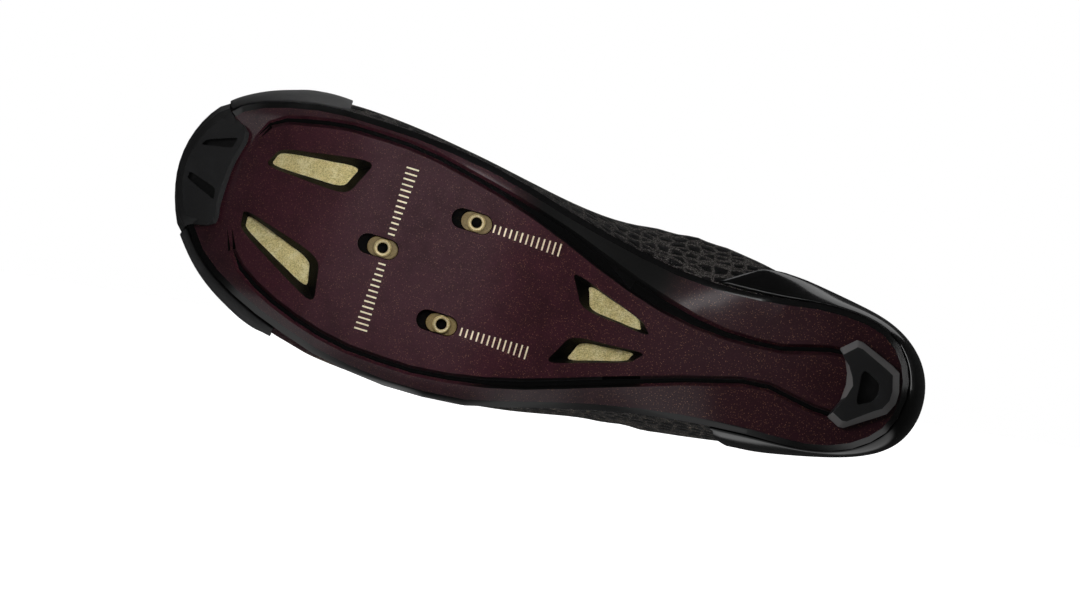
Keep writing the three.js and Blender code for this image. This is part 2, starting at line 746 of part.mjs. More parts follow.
function upper() {
  const climbs = steps(BROW_CLIMB * CLIMB_STEPS, 0, BROW_CLIMB);
  const outer = climbs.map((climb) => lapSteps.map((lap) => skin(lap, climb, 0)));
  const inner = climbs.slice(1).map((climb) => lapSteps.map((lap) => skin(lap, climb, -wallAt(lap, climb))));
  const foot = lapSteps.map((lap) => moved(edge, lap, -FEATHER_INSET - WALL).setZ(feather(lap).z));
  return ringSolid([foot, ...outer, ...inner.reverse()], true);
}

// Overlay between two lifts of the last's surface, thinner at its edges. It keeps the upper's own
// laps and climbs, held between the ends that it is given, so that both surfaces bend alike
const heldBetween = (values, low, high) => [low, ...values.filter((v) => v > low && v < high), high];
const holdIn = (value, low, high) => Math.min(Math.max(value, low), high);

function overlay(laps, climbs, spotAt, thickness, options) {
  const rows = laps.map((lap) => climbs.map((climb) => spotAt(lap, climb)));
  const grid = (heightOf) => rows.map((row) => row.map((spot) => skin(spot.lap, spot.climb, heightOf(spot))));
  const outside = grid((spot) => OVERLAY_LIFT + thickness * (spot.thin ? options.edgeShare : 1));
  return shellSolid(outside, grid(() => OVERLAY_LIFT), options);
}

// Guard round the toe, above the toe pad and down both sides of it
const SEAM_CLIMB = 0.05;
const SEAM_LAP = 0.0015;
const guardTop = between(GUARD_TOP, 'share', 'climb');
const padLap = {
  medial: lapAt(TOE_PAD_ENDS.medial * LENGTH, 1),
  lateral: lapAt(TOE_PAD_ENDS.lateral * LENGTH, 1, false),
};

function toeGuard() {
  const start = lapAt(GUARD_ENDS.medial * LENGTH, 1);
  const end = lapAt(GUARD_ENDS.lateral * LENGTH, 1, false);
  const rounding = [GUARD_CORNER, 1 - GUARD_CORNER].map((share) => lerp(start, end, share));
  const marks = [padLap.medial, padLap.lateral, ...rounding];
  const laps = heldBetween([...lapSteps, ...marks].sort((a, b) => a - b), start, end);
  const seam = TOE_PAD_TOP + SEAM_CLIMB;
  const climbs = heldBetween([...overClimbs, seam].sort((a, b) => a - b), SEAM_CLIMB, RIDGE_CLIMB / 2);
  const spotAt = (lap, climb) => {
    const high = guardTop((lap - start) / (end - start));
    const held = Math.min(climb, high);
    return { lap, climb: held, thin: climb === SEAM_CLIMB || held === high || lap === start || lap === end };
  };
  const keep = (i, j) => climbs[j] >= seam || laps[i] < padLap.medial || laps[i] >= padLap.lateral;
  return overlay(laps, climbs, spotAt, GUARD, { edgeShare: GUARD_EDGE, keep });
}

// Toe pad: under the front of the sole, round its edge and up the front of the upper
function toePad() {
  const across = between(TOE_PAD_REAR, 'share', 'across');
  const at = between(TOE_PAD_REAR, 'share', 'at');
  const start = padLap.medial + SEAM_LAP;
  const end = padLap.lateral - SEAM_LAP;
  const halves = lapSteps.flatMap((lap) => [lap, lap + lapSteps[1] / 2]);
  const down = new THREE.Vector3(0, 0, -1);
  const rows = heldBetween(halves, start, end).map((lap) => {
    const share = (lap - start) / (end - start);
    const rear = raised(new THREE.Vector3(at(share) * LENGTH, across(share) * BALL_WIDTH, 0), 0);
    const corner = soleRim(lap, WING_INSET, lowShare(lap));
    const [lower, side] = [lerp(lowShare(lap), WIDEST, 0.5), WIDEST].map((height) => soleRim(lap, 0, height));
    const out = moved(edge, lap, 1).sub(edge(lap)).setZ(0).normalize();
    const outDown = out.clone().add(down).normalize();
    const ends = share === 0 || share === 1 ? TOE_PAD_EDGES.ends : 1;
    const face = (point, way, depth) => ({ point, way, depth: depth * ends });
    const under = TOE_PAD_ROWS.map((forward) => (
      face(rear.clone().lerp(corner, forward), down, TOE_PAD * (forward === 0 ? TOE_PAD_EDGES.rear : 1))
    ));
    const front = [1 / 3, 2 / 3, 1, TOE_PAD_TOP].map((climb) => (
      face(bare(lap, climb), normalAt(lap, climb), GUARD * (climb === TOE_PAD_TOP ? TOE_PAD_EDGES.top : 1))
    ));
    return [
      ...under,
      face(corner, outDown, TOE_PAD),
      face(lower, out, GUARD),
      face(side, out, GUARD),
      ...front,
    ];
  });
  const grid = (depthOf) => rows.map((row) => row.map((f) => f.point.clone().addScaledVector(f.way, depthOf(f))));
  const pad = shellSolid(grid((f) => GAP + f.depth), grid(() => GAP));
  const sunk = pad.clone().translate(0, 0, PAD_SLOT_DEPTH);
  return cut(pad, ...TOE_PAD_SLOTS.map((corners) => {
    const outline = rounded(corners.map(placed), TOE_PAD_SLOT_ROUNDING);
    const through = [{ points: outline, z: -TOE_PAD - REACH }, { points: outline, z: TOE_PAD }];
    return cut(loft(through, rocker), sunk);
  }));
}

// Heel pad with bevelled sides and a recess
function heelPad() {
  const outline = HEEL_PAD_OUTLINE.map(placed);
  const centre = outline.reduce((sum, p) => sum.add(p), new THREE.Vector2()).divideScalar(outline.length);
  const inset = (distance) => outline.map((p) => {
    const inward = centre.clone().sub(p);
    return p.clone().addScaledVector(inward.normalize(), distance);
  });
  const seat = rocker(0) - GAP;
  const pad = loft([
    { points: outline, z: seat },
    { points: outline, z: seat - HEEL_PAD * HEEL_PAD_SIDE },
    { points: inset(HEEL_PAD_BEVEL), z: seat - HEEL_PAD },
  ], level);
  const recess = rounded(HEEL_RECESS.map(placed), HEEL_RECESS_ROUNDING);
  const top = seat - HEEL_PAD;
  return cut(pad, loft([{ points: recess, z: top - REACH }, { points: recess, z: top + HEEL_RECESS_DEPTH }], level));
}

// Counter round the heel, with a front edge that slopes back as it climbs
function heelCounter() {
  const front = {
    medial: between(COUNTER_FRONT, 'climb', 'medial'),
    lateral: between(COUNTER_FRONT, 'climb', 'lateral'),
  };
  const lowest = COUNTER_FRONT[0].climb;
  const highest = COUNTER_FRONT.at(-1).climb;
  const climbs = heldBetween(overClimbs, lowest, highest);
  const laps = [...lapSteps.slice(SIDE_STEPS).map((lap) => lap - 1), ...lapSteps.slice(0, SIDE_STEPS)];
  const spotAt = (lap, climb) => {
    const low = lapAt(front.lateral(climb) * LENGTH, climb, false) - 1;
    const high = lapAt(front.medial(climb) * LENGTH, climb);
    const held = holdIn(lap, low, high);
    const thin = held === low || held === high || climb === lowest || climb === highest;
    return { lap: held, climb, thin };
  };
  return overlay(laps, climbs, spotAt, COUNTER, { edgeShare: COUNTER_EDGE });
}

// Footbed on the inside of the plate
function insole() {
  const low = [
    (lap) => raised(middle(lap), PLATE + GAP),
    (lap) => raised(panel(lap), PLATE + GAP),
    (lap) => soleFloor(lap, 2 * GAP).add(new THREE.Vector3(0, 0, GAP)),
  ];
  const lift = new THREE.Vector3(0, 0, INSOLE);
  const high = low.map((ring) => (lap) => ring(lap).add(lift)).reverse();
  return ringSolid([...low, ...high].map((ring) => lapSteps.map(ring)));
}

// Tongue: the last's surface under the throat, tucked below both its edges
function tongue() {
  const top = WALL + GAP;
  const laps = lapSteps.slice(0, SIDE_STEPS + 1).filter((lap) => bare(lap, BROW_CLIMB).x > TONGUE_START * LENGTH);
  const tuck = BROW_CLIMB * CLIMB_STEPS - TONGUE_TUCK;
  const climbs = overClimbs.slice(tuck, overClimbs.length - tuck);
  const grid = (depthOf) => laps.map((lap, i) => climbs.map((climb, j) => {
    const thin = i === 0 || j === 0 || j === climbs.length - 1;
    return skin(lap, climb, -depthOf(thin ? TONGUE_EDGE : 1));
  }));
  return shellSolid(grid(() => top), grid((share) => top + TONGUE * share), { folded: true });
}

// The last as a whole, lifted, with the upper's own facets
function lastForm(lift) {
  const climbs = overClimbs.slice(0, RIDGE_CLIMB * CLIMB_STEPS + 1);
  const floor = lapSteps.map((lap) => middle(lap));
  return ringSolid([floor, ...climbs.map((climb) => lapSteps.map((lap) => skin(lap, climb, lift)))]);
}

// Strap across the throat, cut to the last, from past the lateral throat edge to the medial side
function strap({ at, medial, lateral }) {
  const climbs = overClimbs.slice(medial, overClimbs.length - lateral);
  const places = steps(STRAP_STEPS, -0.5, 0.5);
  const rows = places.map((place, i) => climbs.map((climb, j) => {
    const lap = lapAt(at * LENGTH + place * STRAP_WIDTH, climb);
    const thin = i === 0 || i === places.length - 1 || j === 0 || j === climbs.length - 1;
    return { lap, climb, height: GAP + STRAP * (thin ? STRAP_EDGE : 1) };
  }));
  const grid = (heightOf) => rows.map((row) => row.map((spot) => skin(spot.lap, spot.climb, heightOf(spot))));
  return cut(shellSolid(grid((spot) => spot.height), grid(() => -STRAP)), lastForm(GAP));
}

// The shoe in its own frame
const shoe = new THREE.Group();
function add(name, geometry, finish) {
  const mesh = new THREE.Mesh(geometry, new THREE.MeshStandardMaterial(finish));
  mesh.name = name;
  shoe.add(mesh);
}

add('outsole', outsole(), COLOURS.plum);
add('toe_pad', toePad(), COLOURS.pad);
add('toe_guard', toeGuard(), COLOURS.guard);
add('heel_pad', heelPad(), COLOURS.pad);
add('heel_counter', heelCounter(), COLOURS.gloss);
BOLTS.forEach((bolt) => add(`cleat_insert_${bolt.name}`, cleatInsert(bolt), COLOURS.brass));
add('insole', insole(), COLOURS.gold);
add('upper', upper(), COLOURS.knit);
add('tongue', tongue(), COLOURS.knit);
STRAPS.forEach((band) => add(band.name, strap(band), COLOURS.strap));

// How it lies on its lateral side: on the facet of its hull that lies under its centre of volume
function restingTurn() {
  const corners = [];
  const centre = new THREE.Vector3();
  let whole = 0;
  shoe.children.forEach(({ geometry: { attributes: { position }, index } }) => {
    const read = (i) => new THREE.Vector3().fromBufferAttribute(position, i);
    for (let i = 0; i < position.count; i += 1) corners.push(read(i));
    for (let i = 0; i < index.count; i += 3) {
      const [a, b, c] = [0, 1, 2].map((k) => read(index.getX(i + k)));
      const share = a.dot(b.clone().cross(c)) / 6;
      centre.addScaledVector(a.add(b).add(c), share / 4);
      whole += share;
    }
  });
  centre.divideScalar(whole);
  const lateral = new THREE.Vector3(0, -1, 0);
  const holds = (face) => {
    const tips = [face.edge.tail().point, face.edge.head().point, face.edge.next.head().point];
    const triangle = new THREE.Triangle(...tips);
    const foot = centre.clone().addScaledVector(face.normal, face.constant - face.normal.dot(centre));
    return triangle.containsPoint(foot);
  };
  const facets = new ConvexHull().setFromPoints(corners).faces.filter(holds);
  facets.sort((a, b) => b.normal.dot(lateral) - a.normal.dot(lateral));
  const lying = new THREE.Quaternion().setFromUnitVectors(facets[0].normal, new THREE.Vector3(0, 0, -1));
  const toe = new THREE.Vector3(1, 0, 0).applyQuaternion(lying);
  const yaw = Math.PI - Math.atan2(toe.y, toe.x);
  return new THREE.Quaternion().setFromAxisAngle(new THREE.Vector3(0, 0, 1), yaw).multiply(lying);
}

shoe.quaternion.copy(restingTurn());
const part = new THREE.Group();
part.add(shoe);
part.updateMatrixWorld(true);
const bounds = new THREE.Box3().setFromObject(part, true);
const middleOf = bounds.getCenter(new THREE.Vector3());
shoe.position.set(-middleOf.x, -middleOf.y, -bounds.min.z);

export default part;
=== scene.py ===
"""Looks of a right road cycling shoe that lies on its lateral side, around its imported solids."""
import math

import bmesh
import bpy
from bpy.props import FloatProperty, FloatVectorProperty, PointerProperty
from mathutils import Matrix, Vector
from mathutils.bvhtree import BVHTree
from mathutils.kdtree import KDTree


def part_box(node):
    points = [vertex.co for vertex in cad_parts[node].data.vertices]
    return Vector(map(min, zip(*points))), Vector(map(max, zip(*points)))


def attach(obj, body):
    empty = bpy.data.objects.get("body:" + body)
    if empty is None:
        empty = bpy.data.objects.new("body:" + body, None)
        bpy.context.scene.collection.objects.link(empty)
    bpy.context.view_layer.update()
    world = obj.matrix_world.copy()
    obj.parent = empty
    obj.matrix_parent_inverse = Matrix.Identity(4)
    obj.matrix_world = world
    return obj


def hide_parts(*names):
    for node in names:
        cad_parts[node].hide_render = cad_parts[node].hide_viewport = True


bl_info = {
    "name": "Cycling shoe",
    "version": (1, 0, 0),
    "blender": (4, 5, 0),
    "location": "View3D > Sidebar > Shoe",
    "description": "Dresses the packed solids of a road cycling shoe",
    "category": "Object",
}

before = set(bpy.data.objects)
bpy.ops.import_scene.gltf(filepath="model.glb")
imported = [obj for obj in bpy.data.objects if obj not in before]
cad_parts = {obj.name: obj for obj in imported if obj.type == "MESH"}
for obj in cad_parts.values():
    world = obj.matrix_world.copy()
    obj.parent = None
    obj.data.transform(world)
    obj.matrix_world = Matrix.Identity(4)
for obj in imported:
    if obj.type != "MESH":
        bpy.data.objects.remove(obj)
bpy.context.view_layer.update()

MM = 0.001
LENGTH = 286.0

# Centres of the cleat inserts in the shoe's own frame, in millimetres: x to the toe, y to the
# medial side, and z from the sole up
INSERTS = {
    "cleat_insert_front": (205.19, -4.498, 2.4),
    "cleat_insert_medial": (175.19, 14.222, 2.4),
    "cleat_insert_lateral": (176.69, -24.778, 2.4),
}


def triad(front, medial, lateral):
    """Turn of a frame that has its second axis from the lateral to the medial insert."""
    second = (medial - lateral).normalized()
    third = (front - lateral).cross(second).normalized()
    return Matrix((second.cross(third), second, third)).transposed()


def shoe_place():
    """Matrix from millimetres in the shoe's frame to the row's metres, found from its inserts."""
    own = [Vector(spot) for spot in INSERTS.values()]
    placed = [(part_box(node)[0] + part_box(node)[1]) / 2 for node in INSERTS]
    turn = triad(*placed) @ triad(*own).transposed()
    centre = sum(own, Vector()) / 3
    place = sum(placed, Vector()) / 3
    shift = place - turn @ (centre * MM)
    return Matrix.Translation(shift) @ turn.to_4x4() @ Matrix.Scale(MM, 4)


SHOE = shoe_place()
FROM_ROW = SHOE.inverted()
TURN = FROM_ROW.to_3x3()


# Shader building


class Value:
    """A shader socket whose arithmetic adds Math nodes."""

    def __init__(self, finish, socket):
        self.finish = finish
        self.socket = socket

    def math(self, operation, *terms):
        settings = {"operation": operation}
        return self.finish.node("Math", settings, dict(enumerate(terms)))

    def __add__(self, other):
        return self.math("ADD", self, other)

    __radd__ = __add__

    def __sub__(self, other):
        return self.math("SUBTRACT", self, other)

    def __rsub__(self, other):
        return self.math("SUBTRACT", other, self)

    def __mul__(self, other):
        return self.math("MULTIPLY", self, other)

    __rmul__ = __mul__

    def __abs__(self):
        return self.math("ABSOLUTE", self)

    def wave(self):
        return self.math("SINE", self)

    def step(self, low, high, start=0.0, end=1.0):
        """Smooth step from start to end as the value goes from low to high."""
        inputs = {0: self, 1: low, 2: high, 3: start, 4: end}
        return self.finish.node("MapRange", {"interpolation_type": "SMOOTHSTEP"}, inputs)


class Nodes:
    """Adds nodes to a tree, for a material or for the room."""

    def __init__(self, tree):
        self.tree = tree

    def feed(self, socket, value):
        if isinstance(value, Value):
            self.tree.links.new(value.socket, socket)
        else:
            socket.default_value = value

    def node(self, kind, settings=None, inputs=None, output=0):
        """Adds a node, with its settings first and then the values or links of its sockets."""
        made = self.tree.nodes.new(f"ShaderNode{kind}")
        for name, setting in (settings or {}).items():
            setattr(made, name, setting)
        for socket, value in (inputs or {}).items():
            self.feed(made.inputs[socket], value)
        return Value(self, made.outputs[output])

    def axes(self, vector):
        return [self.node("SeparateXYZ", None, {0: vector}, axis) for axis in range(3)]


def socket_label(word):
    """Label of a shader socket, from its name as a keyword."""
    return word.replace("_", " ").title().replace("Ior", "IOR")


class Finish(Nodes):
    """One procedural material, laid out in the shoe's frame in millimetres."""

    def __init__(self, name, **sockets):
        self.material = bpy.data.materials.new(name)
        self.material.use_nodes = True
        super().__init__(self.material.node_tree)
        self.surface = self.tree.nodes["Principled BSDF"]
        for socket, value in sockets.items():
            self.surface.inputs[socket_label(socket)].default_value = value
        self.spot = self.node("TexCoord", output="Object")
        place, turn, scale = FROM_ROW.decompose()
        self.spot = self.mapped(scale, turn.to_euler(), place)
        self.x, self.y, self.z = self.axes(self.spot)

    def mapped(self, scale, turn=(0.0, 0.0, 0.0), shift=(0.0, 0.0, 0.0)):
        """The place on the shoe after a stretch, a turn and a shift."""
        inputs = {"Vector": self.spot, "Scale": scale, "Rotation": turn, "Location": shift}
        return self.node("Mapping", {"vector_type": "POINT"}, inputs)

    def noise(self, size, detail=3.0, rough=0.5):
        inputs = {"Vector": self.spot, "Scale": 1 / size, "Detail": detail, "Roughness": rough}
        return self.node("TexNoise", None, inputs)

    def cells(self, size, feature="F1", output="Distance", spot=None, spread=1.0):
        inputs = {"Vector": spot or self.spot, "Scale": 1 / size, "Randomness": spread}
        return self.node("TexVoronoi", {"feature": feature}, inputs, output)

    def mix(self, low, high, share):
        inputs = {0: share, 6: self.colour(low), 7: self.colour(high)}
        return self.node("Mix", {"data_type": "RGBA"}, inputs, 2)

    @staticmethod
    def colour(value):
        return value if isinstance(value, Value) else (*value, 1.0)

    def parted(self, colour):
        """The three parts of a colour, as numbers."""
        return [self.node("SeparateColor", None, {0: colour}, part) for part in range(3)]

    def trait(self, name):
        """A number kept on the piece's own mesh."""
        return self.node("Attribute", {"attribute_name": name}, None, "Fac")

    def bump(self, height, depth, under=None):
        """Relief of a height from 0 to 1, with its depth in millimetres."""
        inputs = {"Height": height, "Distance": depth * MM, "Strength": 1.0}
        if under:
            inputs["Normal"] = under
        return self.node("Bump", None, inputs, "Normal")

    def done(self, **sockets):
        for socket, value in sockets.items():
            self.feed(self.surface.inputs[socket_label(socket)], value)
        return self.material


# Finishes of the shoe


# Stretches along the shoe over which the colour of its sole changes: painted shade towards the
# heel, more copper flecks towards the heel, and painted shade over the arch
SHADED_HEEL = (140.0, 80.0)
COPPER_HEEL = (230.0, 60.0)
ARCH_SHADE_FRONT = (172.0, 152.0)
ARCH_SHADE_REAR = (90.0, 106.0)
ARCH_SHADE_FADE = 6.0

FLECK_SIZE = 0.5


def carbon(name, looks, gloss, arch=None):
    """Plum composite with fine copper flecks, painted shade that darkens it towards the heel, and
    painted shade that turns it black along the arch beyond a line in plan.
    """
    finish = Finish(name, coat_roughness=0.16, coat_ior=1.5, specular_ior_level=0.3)
    broad = finish.noise(60.0, 2.0)
    cloud = finish.noise(7.0, 4.0, 0.6)
    grain = finish.noise(0.5, 4.0, 0.75)
    fleck = finish.cells(FLECK_SIZE)
    lot, tone, _ = finish.parted(finish.cells(FLECK_SIZE, output="Color"))
    spark = fleck.step(0.42, 0.2) * lot.step(0.50, 0.64) * (tone * 0.45 + 0.03)
    base = finish.mix(looks.plum_dark, looks.plum, (broad * 0.4 + cloud * 0.6).step(0.35, 0.6))
    base = finish.mix(base, looks.plum_light, grain.step(0.46, 0.72) * 0.6)
    base = finish.mix(base, looks.plum_dark, grain.step(0.50, 0.30) * 0.6)
    # Painted shade: the sole darkens towards its heel
    base = finish.mix(base, looks.plum_dark, finish.x.step(*SHADED_HEEL) * 0.6)
    base = finish.mix(base, looks.copper, spark * finish.x.step(*COPPER_HEEL, 0.8, 1.7))
    # Painted shade: along the arch, beyond a line in plan, the sole is turned black where its steep
    # wing faces away from the light
    if arch is not None:
        beyond = finish.y.step(arch, arch + ARCH_SHADE_FADE)
        hollow = finish.x.step(*ARCH_SHADE_FRONT) * finish.x.step(*ARCH_SHADE_REAR) * beyond
        base = finish.mix(base, looks.black, hollow)
    rough = grain * 0.2 + 0.34
    coat = cloud * 0.2 + gloss
    relief = finish.bump(grain, 0.02, finish.bump(cloud, 0.03))
    return finish.done(base_color=base, roughness=rough, coat_weight=coat, normal=relief)


def gloss_black(name, looks, rough):
    """Polished black plastic with a faint orange peel."""
    finish = Finish(name, coat_roughness=0.05, coat_weight=0.5)
    peel = finish.noise(5.0, 2.0)
    dust = finish.noise(0.4, 3.0, 0.8).step(0.56, 0.8)
    base = finish.mix(looks.black, looks.black_dust, dust)
    normal = finish.bump(peel, 0.03)
    return finish.done(base_color=base, roughness=peel * 0.12 + rough, normal=normal)


def highlight_lacquer(looks):
    """Clear coat on the rounded edges of the sole, with a pale base that paints a highlight line
    along them.
    """
    coat = {"coat_weight": 1.0, "coat_roughness": 0.12, "coat_ior": 2.2}
    finish = Finish("edge_lacquer", specular_ior_level=1.0, **coat)
    highlight_breaks = finish.noise(9.0, 2.0)
    # Painted highlight: the edges are mixed towards a pale grey in long patches
    base = finish.mix(looks.plum_light, looks.edge_highlight, highlight_breaks.step(0.35, 0.55))
    normal = finish.bump(highlight_breaks, 0.02)
    return finish.done(base_color=base, roughness=highlight_breaks * 0.1 + 0.15, normal=normal)


def vent_wall(looks):
    """Raw dark composite inside the vents and slots and under the footbed."""
    finish = Finish("vent_wall", specular_ior_level=0.05)
    crumb = finish.noise(0.9, 4.0, 0.75)
    base = finish.mix(looks.black, looks.vent_brown, crumb.step(0.52, 0.75))
    normal = finish.bump(crumb, 0.12)
    return finish.done(base_color=base, roughness=crumb * 0.3 + 0.35, normal=normal)


# Stretch across the shoe over which a painted sheen lightens the rubber's medial side
SHEEN_SIDE = (24.0, 44.0)


def rubber(name, colour, worn, size=0.7, painted_sheen=0.0):
    """Matte moulded rubber with a fine pebble and rubbed spots, and a painted sheen that lightens
    its medial side.
    """
    finish = Finish(name, specular_ior_level=0.4)
    pebble = finish.cells(size, "SMOOTH_F1")
    patch = finish.noise(12.0, 4.0, 0.65)
    speck = finish.noise(0.5, 3.0, 0.7)
    base = finish.mix(colour, worn, patch.step(0.45, 0.8) * 0.35)
    base = finish.mix(base, worn, speck.step(0.55, 0.8) * 0.5)
    # Painted sheen: the medial side is mixed towards the pale colour
    base = finish.mix(base, worn, finish.y.step(*SHEEN_SIDE) * painted_sheen)
    normal = finish.bump(pebble, 0.05, finish.bump(patch, 0.06))
    return finish.done(base_color=base, roughness=speck * 0.2 + 0.42, normal=normal)


# The knit's scales, its bound edge, and the stretches over which its colour changes
SCALE_SIZE = 3.3
SCALE_STRETCH = (0.6, 1.0, 1.0)
SCALE_TURN = math.radians(8.0)
SCALE_SPREAD = 0.55
BINDING_EDGE = (5.0, 4.6)
BINDING_SEAM = 4.9
DUST_HEIGHT = (48.0, 20.0)
LATERAL_SIDE = (-12.0, -34.0)
PLUM_FRONT = (190.0, 215.0)
PLUM_HEIGHT = (46.0, 30.0)
STREAK_SLOPE = 0.25
STREAK_DROP = 33.0
STREAK_WIDTH = (3.4, 1.2)
STREAK_REAR = (207.0, 213.0)


def knit(looks):
    """Knit of long dark scales outlined by speckled yarn, with a bound edge and a plain lining."""
    finish = Finish("knit", specular_ior_level=0.1)
    lay = {"spot": finish.mapped(SCALE_STRETCH, (0.0, 0.0, SCALE_TURN)), "spread": SCALE_SPREAD}
    rim = finish.cells(SCALE_SIZE, "DISTANCE_TO_EDGE", **lay)
    shade, tone, _ = finish.parted(finish.cells(SCALE_SIZE, output="Color", **lay))
    yarn = rim.step(0.17, 0.07)
    row = (finish.x * 5.2 + finish.noise(3.0) * 3.0).wave()
    wale = (finish.z * 7.0 + finish.y * 7.0).wave()
    loop = (row * wale).step(-0.6, 0.9)
    inside = finish.trait("inside")
    bound = finish.trait("edge").step(*BINDING_EDGE)
    groove = abs(finish.trait("edge") - BINDING_SEAM).step(0.15, 0.7)
    patch = finish.noise(16.0, 3.0, 0.6)
    speck = finish.noise(0.55, 3.0, 0.85)
    base = finish.mix(looks.knit_dark, looks.knit, shade * 0.8)
    base = finish.mix(base, looks.yarn, yarn * (loop * 0.4 + speck.step(0.45, 0.65)) * 0.8)
    dust = speck.step(0.57, 0.72) * patch.step(0.48, 0.68)
    base = finish.mix(base, looks.dust, dust * finish.z.step(*DUST_HEIGHT) * 0.9)
    lateral = finish.y.step(*LATERAL_SIDE) * (1.0 - inside)
    fore = finish.x.step(*PLUM_FRONT) * finish.z.step(*PLUM_HEIGHT)
    base = finish.mix(base, looks.plum_yarn, lateral * fore * (shade * 0.5 + 0.5))
    streak = abs(finish.z - finish.x * STREAK_SLOPE + STREAK_DROP).step(*STREAK_WIDTH)
    streak = streak * finish.x.step(*STREAK_REAR)
    base = finish.mix(base, looks.fleck, lateral * streak * speck.step(0.42, 0.6))
    flecks = finish.noise(1.0, 2.0, 0.8).step(0.58, 0.68)
    base = finish.mix(base, looks.fleck, flecks * yarn * lateral * (tone * 0.8 + 0.2))
    base = finish.mix(base, looks.lining, inside)
    base = finish.mix(base, looks.binding, bound)
    scales = (1.0 - yarn) * rim.step(0.1, 0.5) * (1.0 - inside) * (1.0 - bound)
    normal = finish.bump(scales, 0.4, finish.bump(loop, 0.14, finish.bump(groove, 0.5)))
    return finish.done(base_color=base, roughness=yarn * 0.25 + shade * 0.1 + 0.48, normal=normal)


def webbing(name, looks):
    """Woven cloth of fine ribs, a little fuzzy."""
    finish = Finish(name, specular_ior_level=0.3)
    rib = (finish.x * 4.6).wave()
    cross = (finish.y * 3.4 + finish.z * 3.4).wave()
    weave = (rib * cross).step(-0.8, 0.9)
    fuzz = finish.noise(0.8, 3.0, 0.7)
    base = finish.mix(looks.strap, looks.strap_light, weave * 0.5 + fuzz * 0.3)
    normal = finish.bump(weave, 0.14, finish.bump(fuzz, 0.06))
    return finish.done(base_color=base, roughness=fuzz * 0.25 + 0.6, normal=normal)


def brass(name, bright, dull, metal):
    """Turned brass, dulled in places."""
    finish = Finish(name)
    lathe = finish.noise(0.35, 2.0, 0.6)
    stain = finish.noise(0.5, 3.0, 0.7)
    base = finish.mix(dull, bright, stain.step(0.3, 0.7))
    rough = stain * 0.25 + 0.25
    metallic = stain * 0.1 + metal
    normal = finish.bump(lathe, 0.02)
    return finish.done(base_color=base, roughness=rough, metallic=metallic, normal=normal)


def felt(looks):
    """Gold lasting board with wrinkled, matted fibres, and painted shade in the wrinkles."""
    finish = Finish("felt", specular_ior_level=0.4)
    fibre = finish.noise(0.5, 4.0, 0.8)
    blotch = finish.noise(4.0, 4.0, 0.7)
    bent = finish.x * 0.9 + finish.y * 1.1 + blotch * 9.0
    wrinkle = abs((bent * 2.4 + fibre * 0.6).wave())
    base = finish.mix(looks.gold_dark, looks.gold, fibre.step(0.3, 0.6))
    base = finish.mix(base, looks.gold_light, blotch.step(0.42, 0.7) * 0.6)
    # Painted shade: the troughs of the wrinkles are darkened
    base = finish.mix(base, looks.gold_dark, wrinkle.step(0.30, 0.0) * 0.6)
    normal = finish.bump(wrinkle, 0.3, finish.bump(fibre, 0.2))
    return finish.done(base_color=base, roughness=fibre * 0.2 + 0.45, normal=normal)


VENT_PITCH = 7.0


def footbed(looks):
    """Black brushed cloth on top of the footbed, with rows of small round vents painted black as
    the shade inside them.
    """
    finish = Finish("footbed_cloth", specular_ior_level=0.2)
    nap = finish.noise(0.6, 4.0, 0.75)
    plan = finish.mapped((1.0, 1.0, 0.0))
    dots = finish.cells(VENT_PITCH, spot=plan, spread=0.0).step(0.24, 0.2)
    base = finish.mix(looks.lining, looks.knit, nap)
    # Painted shade: the vents are coloured black as well as pressed in
    base = finish.mix(base, looks.black, dots)
    normal = finish.bump(dots, -0.6, finish.bump(nap, 0.15))
    return finish.done(base_color=base, roughness=nap * 0.2 + 0.7, normal=normal)


def paint(looks):
    """Printed marks, a little rubbed."""
    finish = Finish("mark_paint", roughness=0.5)
    rub = finish.noise(0.7, 3.0, 0.7)
    base = finish.mix(looks.mark, looks.mark_rubbed, rub.step(0.5, 0.75))
    normal = finish.bump(rub, 0.02)
    return finish.done(base_color=base, roughness=rub * 0.3 + 0.4, normal=normal)


def thread(looks):
    """Twisted sewing thread."""
    finish = Finish("thread", specular_ior_level=0.3)
    twist = (finish.x * 9.0 + finish.y * 9.0 + finish.z * 9.0).wave()
    base = finish.mix(looks.strap, looks.thread, twist.step(-1.0, 0.8))
    normal = finish.bump(twist, 0.05)
    return finish.done(base_color=base, roughness=twist * 0.1 + 0.6, normal=normal)


# Mesh building


WELD = 0.002 * MM
RING_WELD = 0.001
FLAT_BEND = math.radians(0.4)
SMOOTH_LEVELS = 2

# Heights outside the shoe, below its sole and above its collar, from which lines are cast
BELOW = -40.0
ABOVE = 140.0


def clamped(value, low, high):
    return min(max(value, low), high)


def cad_copy(node):
    """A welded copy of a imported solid."""
    bm = bmesh.new()
    bm.from_mesh(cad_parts[node].data)
    bmesh.ops.remove_doubles(bm, verts=bm.verts, dist=WELD)
    return bm


def whole_faces(bm):
    """Merges the triangles of each flat face."""
    bmesh.ops.dissolve_limit(bm, angle_limit=FLAT_BEND, verts=bm.verts, edges=bm.edges)


def squared(bm, bend=30.0, shape=60.0):
    """Joins pairs of triangles back to the quads that they came from."""
    bmesh.ops.join_triangles(
        bm,
        faces=bm.faces,
        angle_face_threshold=math.radians(bend),
        angle_shape_threshold=math.radians(shape),
    )


def sharp_edges(bm, angle):
    limit = math.radians(angle)
    return [e for e in bm.edges if len(e.link_faces) == 2 and e.calc_face_angle(0.0) > limit]


def creased(bm, angle, amount, keep=lambda edge: True):
    layer = bm.edges.layers.float.get("crease_edge") or bm.edges.layers.float.new("crease_edge")
    for edge in sharp_edges(bm, angle):
        if keep(edge):
            edge[layer] = amount


